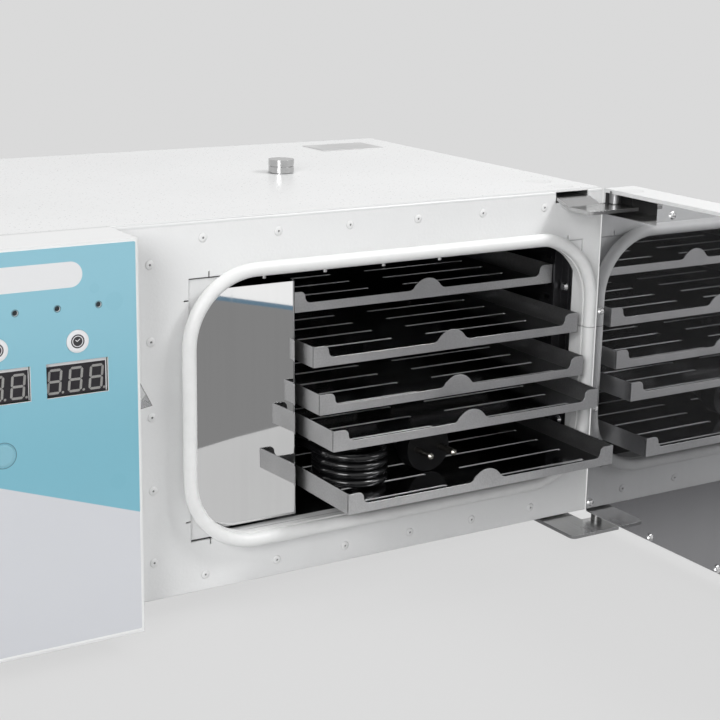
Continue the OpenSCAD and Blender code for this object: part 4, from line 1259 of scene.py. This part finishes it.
@dataclass
class MainsLead:
    """Detachable mains lead, stored in a coil on the lowest tray."""

    diameter: float = 5.8
    roundness: int = 6
    coil_centre: Flat = (-206.8, 3.2)
    coil_radius: float = 23.5
    coil_low: float = 59.9
    coil_top: float = 80.55
    turns: float = 3.5
    steps_per_turn: int = 28
    steps_per_part: int = 3
    connector_end: tuple[Point, ...] = (
        (-183.3, 92, 67),
        (-183.3, 78, 67),
        (-183.3, 60, 63.5),
        (-183.3, 40, 61),
        (-183.3, 20, 59.9),
    )
    plug_end: tuple[Point, ...] = (
        (-230.3, 20, 80.55),
        (-230.3, 38, 79),
        (-229, 56, 77),
        (-222, 74, 76),
        (-209, 87, 75),
        (-190, 92, 75),
        (-171, 87, 74.5),
        (-158, 75, 74),
        (-150, 60, 74),
        (-150, 46, 74),
    )

    def route(self) -> list[Point]:
        """Works out the centre line from the connector to the plug.

        Returns:
            Its case places, in mm.
        """
        x, y = self.coil_centre
        count = round(self.turns * self.steps_per_turn)
        coil = []
        for i in range(count + 1):
            angle = -2 * math.pi * self.turns * i / count
            across = self.coil_radius * math.cos(angle)
            along = self.coil_radius * math.sin(angle)
            rise = (self.coil_top - self.coil_low) * i / count
            coil.append((x + across, y + along, self.coil_low + rise))
        start = self._smooth((*self.connector_end, coil[0]))
        end = self._smooth((coil[-1], *self.plug_end))
        return start[:-1] + coil + end[1:]

    def _smooth(self, points: Sequence[Point]) -> list[Point]:
        """Adds points between the given ones on a smooth curve through them.

        Args:
            points: The points to pass through.

        Returns:
            The finer points.
        """
        fine: list[Point] = []
        last = len(points) - 1
        for i in range(last):
            near = [points[min(max(i + k, 0), last)] for k in (-1, 0, 1, 2)]
            for step in range(self.steps_per_part):
                t = step / self.steps_per_part
                shares = (
                    (2 * t**2 - t - t**3) / 2,
                    (2 - 5 * t**2 + 3 * t**3) / 2,
                    (t + 4 * t**2 - 3 * t**3) / 2,
                    (t**3 - t**2) / 2,
                )
                fine.append(
                    tuple(sum(a * b for a, b in zip(shares, row)) for row in zip(*near))
                )
        fine.append(points[-1])
        return fine

    def build(self) -> None:
        points = [at(*p) for p in self.route()]
        data = bpy.data.curves.new("mains_cord", "CURVE")
        data.dimensions = "3D"
        data.bevel_depth = self.diameter / 2 * MM
        data.bevel_resolution = self.roundness
        data.use_fill_caps = True
        spline = data.splines.new("POLY")
        spline.points.add(len(points) - 1)
        spline.points.foreach_set("co", [v for p in points for v in (*p, 1.0)])
        data.materials.append(SHEATH.material())
        cord = show("mains_cord", data)
        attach(cord, "tray_5")
        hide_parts("cord_coil", "plug_lead", "connector_lead")

    def dress(self) -> None:
        """Finishes the plug and the connector."""
        give(PLUG, "mains_plug")
        give(PLASTIC, "appliance_connector")


@dataclass
class CaseHousing:
    """Outer case with its base, rear, feet, vent and power inlet."""

    def dress(self) -> None:
        """Finishes the case."""
        give(COAT_TOP, "case_cover")
        give(COAT, "base_plate", "rear_panel", "front_face", "control_box")
        give(RIVET, "face_rivets")
        give(PLATE, "top_plate")
        give(SHEET, "vent_tube")
        give(CAP, "vent_cap")
        give(BRIGHT, "rear_screws", "foot_screws", "catch_spring")
        give(RUBBER, "feet")
        give(PLASTIC, "power_inlet", "power_switch")


@dataclass
class ChamberOpening:
    """Collar and silicone gasket round the opening."""

    def dress(self) -> None:
        """Finishes the collar and the gasket."""
        give(COAT_COLLAR, "door_collar")
        give(GASKET, "collar_gasket")


@dataclass
class HeatingChamber:
    """Stainless chamber with its heater compartment and fan."""

    def dress(self) -> None:
        """Finishes the chamber."""
        give(LINER, "chamber_liner", "bulkhead", "tray_uprights", "tray_rails")
        give(MIRROR_COVER, "heater_cover")
        give(SHEET, "fan_wheel", "temperature_probe")
        give(BRIGHT, "chamber_screws")
        give(ELEMENT, "heating_element")
        give(MOTOR, "fan_motor")
        give(WOOL, "chamber_insulation")


@dataclass
class TrayStack:
    """Slotted instrument trays, from the top one down."""

    count: int = 5

    def dress(self) -> None:
        """Finishes the trays."""
        give(TRAY, *(f"tray_{i + 1}" for i in range(self.count)))


@dataclass
class MirrorDoor:
    """Side-hinged door with its mirror panel, handle and hinges."""

    def dress(self) -> None:
        """Finishes the door and its hinges."""
        give(COAT_DOOR, "door_shell")
        give(MIRROR_DOOR, "door_mirror")
        give(WOOL, "door_insulation")
        give(BRIGHT, "door_screws", "door_handle", "handle_screws", "strap_bolts")
        give(SHEET, "door_bushes")
        give(STRAP, "hinge_strap_top", "hinge_strap_bottom")
        give(PIN, "hinge_pin_top", "hinge_pin_bottom")


@dataclass
class ControlPanel:
    """Control box front with its film, displays, keys and lamps."""

    display_x: tuple[float, float] = (-465.1, -417.9)
    display_z: float = 165.2
    face_y: float = -38.4
    digits: int = 3
    digit_height: float = 13.6
    digit_width: float = 7.2
    digit_pitch: float = 12.7
    digit_shift: float = -0.5
    stroke: float = 1.45
    slant: float = 0.10
    rise: float = 0.08
    gap: float = 0.18
    dot_away: float = 1.9
    dot_r: float = 0.75
    dot_corners: int = 16

    def dress(self) -> None:
        """Finishes the panel's parts."""
        give(FILM, "control_film")
        give(WINDOW, "display_left", "display_right")
        give(LENS, "indicator_lights")
        give(KEY_LEFT, "left_key")
        give(KEY_RIGHT, "right_key")
        give(KEY_PROGRAM, "program_key")
        give(BOARD, "control_board")

    def _bar(self, low: float, high: float) -> list[Flat]:
        """Draws a bar of a digit.

        Args:
            low: Where it starts.
            high: Where it ends.

        Returns:
            Its corners, as places along it and across it.
        """
        s, g = self.stroke / 2, self.gap
        near, far = low + s + g, high - s - g
        return [(low + g, 0), (near, -s), (far, -s), (high - g, 0), (far, s), (near, s)]

    def _outlines(self) -> list[list[Flat]]:
        """Draws a digit from its centre, each outline against the clock.

        Returns:
            The outlines of its seven bars and its dot.
        """
        w, h = self.digit_width / 2, self.digit_height / 2
        level = [[(u, z + v) for u, v in self._bar(-w, w)] for z in (-h, 0, h)]
        upright = [
            [(x - v, u) for u, v in self._bar(low, high)]
            for x in (-w, w)
            for low, high in ((-h, 0), (0, h))
        ]
        x, r = w + self.dot_away, self.dot_r
        turns = [2 * math.pi * i / self.dot_corners for i in range(self.dot_corners)]
        dot = [(x + r * math.cos(turn), r * math.sin(turn) - h) for turn in turns]
        return [*level, *upright, dot]

    def _slab(self, name: str, outlines: Sequence[Sequence[Flat]]) -> None:
        """Makes one piece of flat slabs on the displays' face.

        Args:
            name: The piece's name.
            outlines: The slabs' corners, sideways and upwards, against the clock.
        """
        verts: list[Vector] = []
        faces: list[list[int]] = []
        for outline in outlines:
            base, n = len(verts), len(outline)
            for y in (self.face_y - self.rise, self.face_y + self.rise):
                verts += [at(x, y, z) for x, z in outline]
            faces.append([base + i for i in range(n)])
            faces.append([base + n + i for i in reversed(range(n))])
            for i in range(n):
                here, after = base + i, base + (i + 1) % n
                faces.append([here, here + n, after + n, after])
        mesh = bpy.data.meshes.new(name)
        mesh.from_pydata([tuple(v) for v in verts], [], faces)
        mesh.validate()
        mesh.update()
        mesh.materials.append(DIGIT.material())
        made = show(name, mesh)
        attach(made, "case")
        LOG.info("built %s", name)

    def build(self) -> None:
        """Makes the digits of both displays."""
        for side, middle in zip(("left", "right"), self.display_x):
            starts = [
                middle + self.digit_shift + (k - self.digits // 2) * self.digit_pitch
                for k in range(self.digits)
            ]
            outlines = [
                [(start + x + z * self.slant, self.display_z + z) for x, z in outline]
                for start in starts
                for outline in self._outlines()
            ]
            self._slab(f"digits_{side}", outlines)


def main() -> None:
    """Builds the scene: viewpoint and cord first, then the stage and each assembly."""
    logging.basicConfig(level=logging.INFO, format="%(name)s: %(message)s")
    bpy.context.scene.view_settings.view_transform = "Standard"
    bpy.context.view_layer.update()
    Viewpoint().build()
    lead = MainsLead()
    lead.build()
    Studio().build()
    panel = ControlPanel()
    panel.build()
    for part in (
        lead,
        CaseHousing(),
        ChamberOpening(),
        HeatingChamber(),
        TrayStack(),
        MirrorDoor(),
        panel,
    ):
        part.dress()


if __name__ == "__main__":
    main()
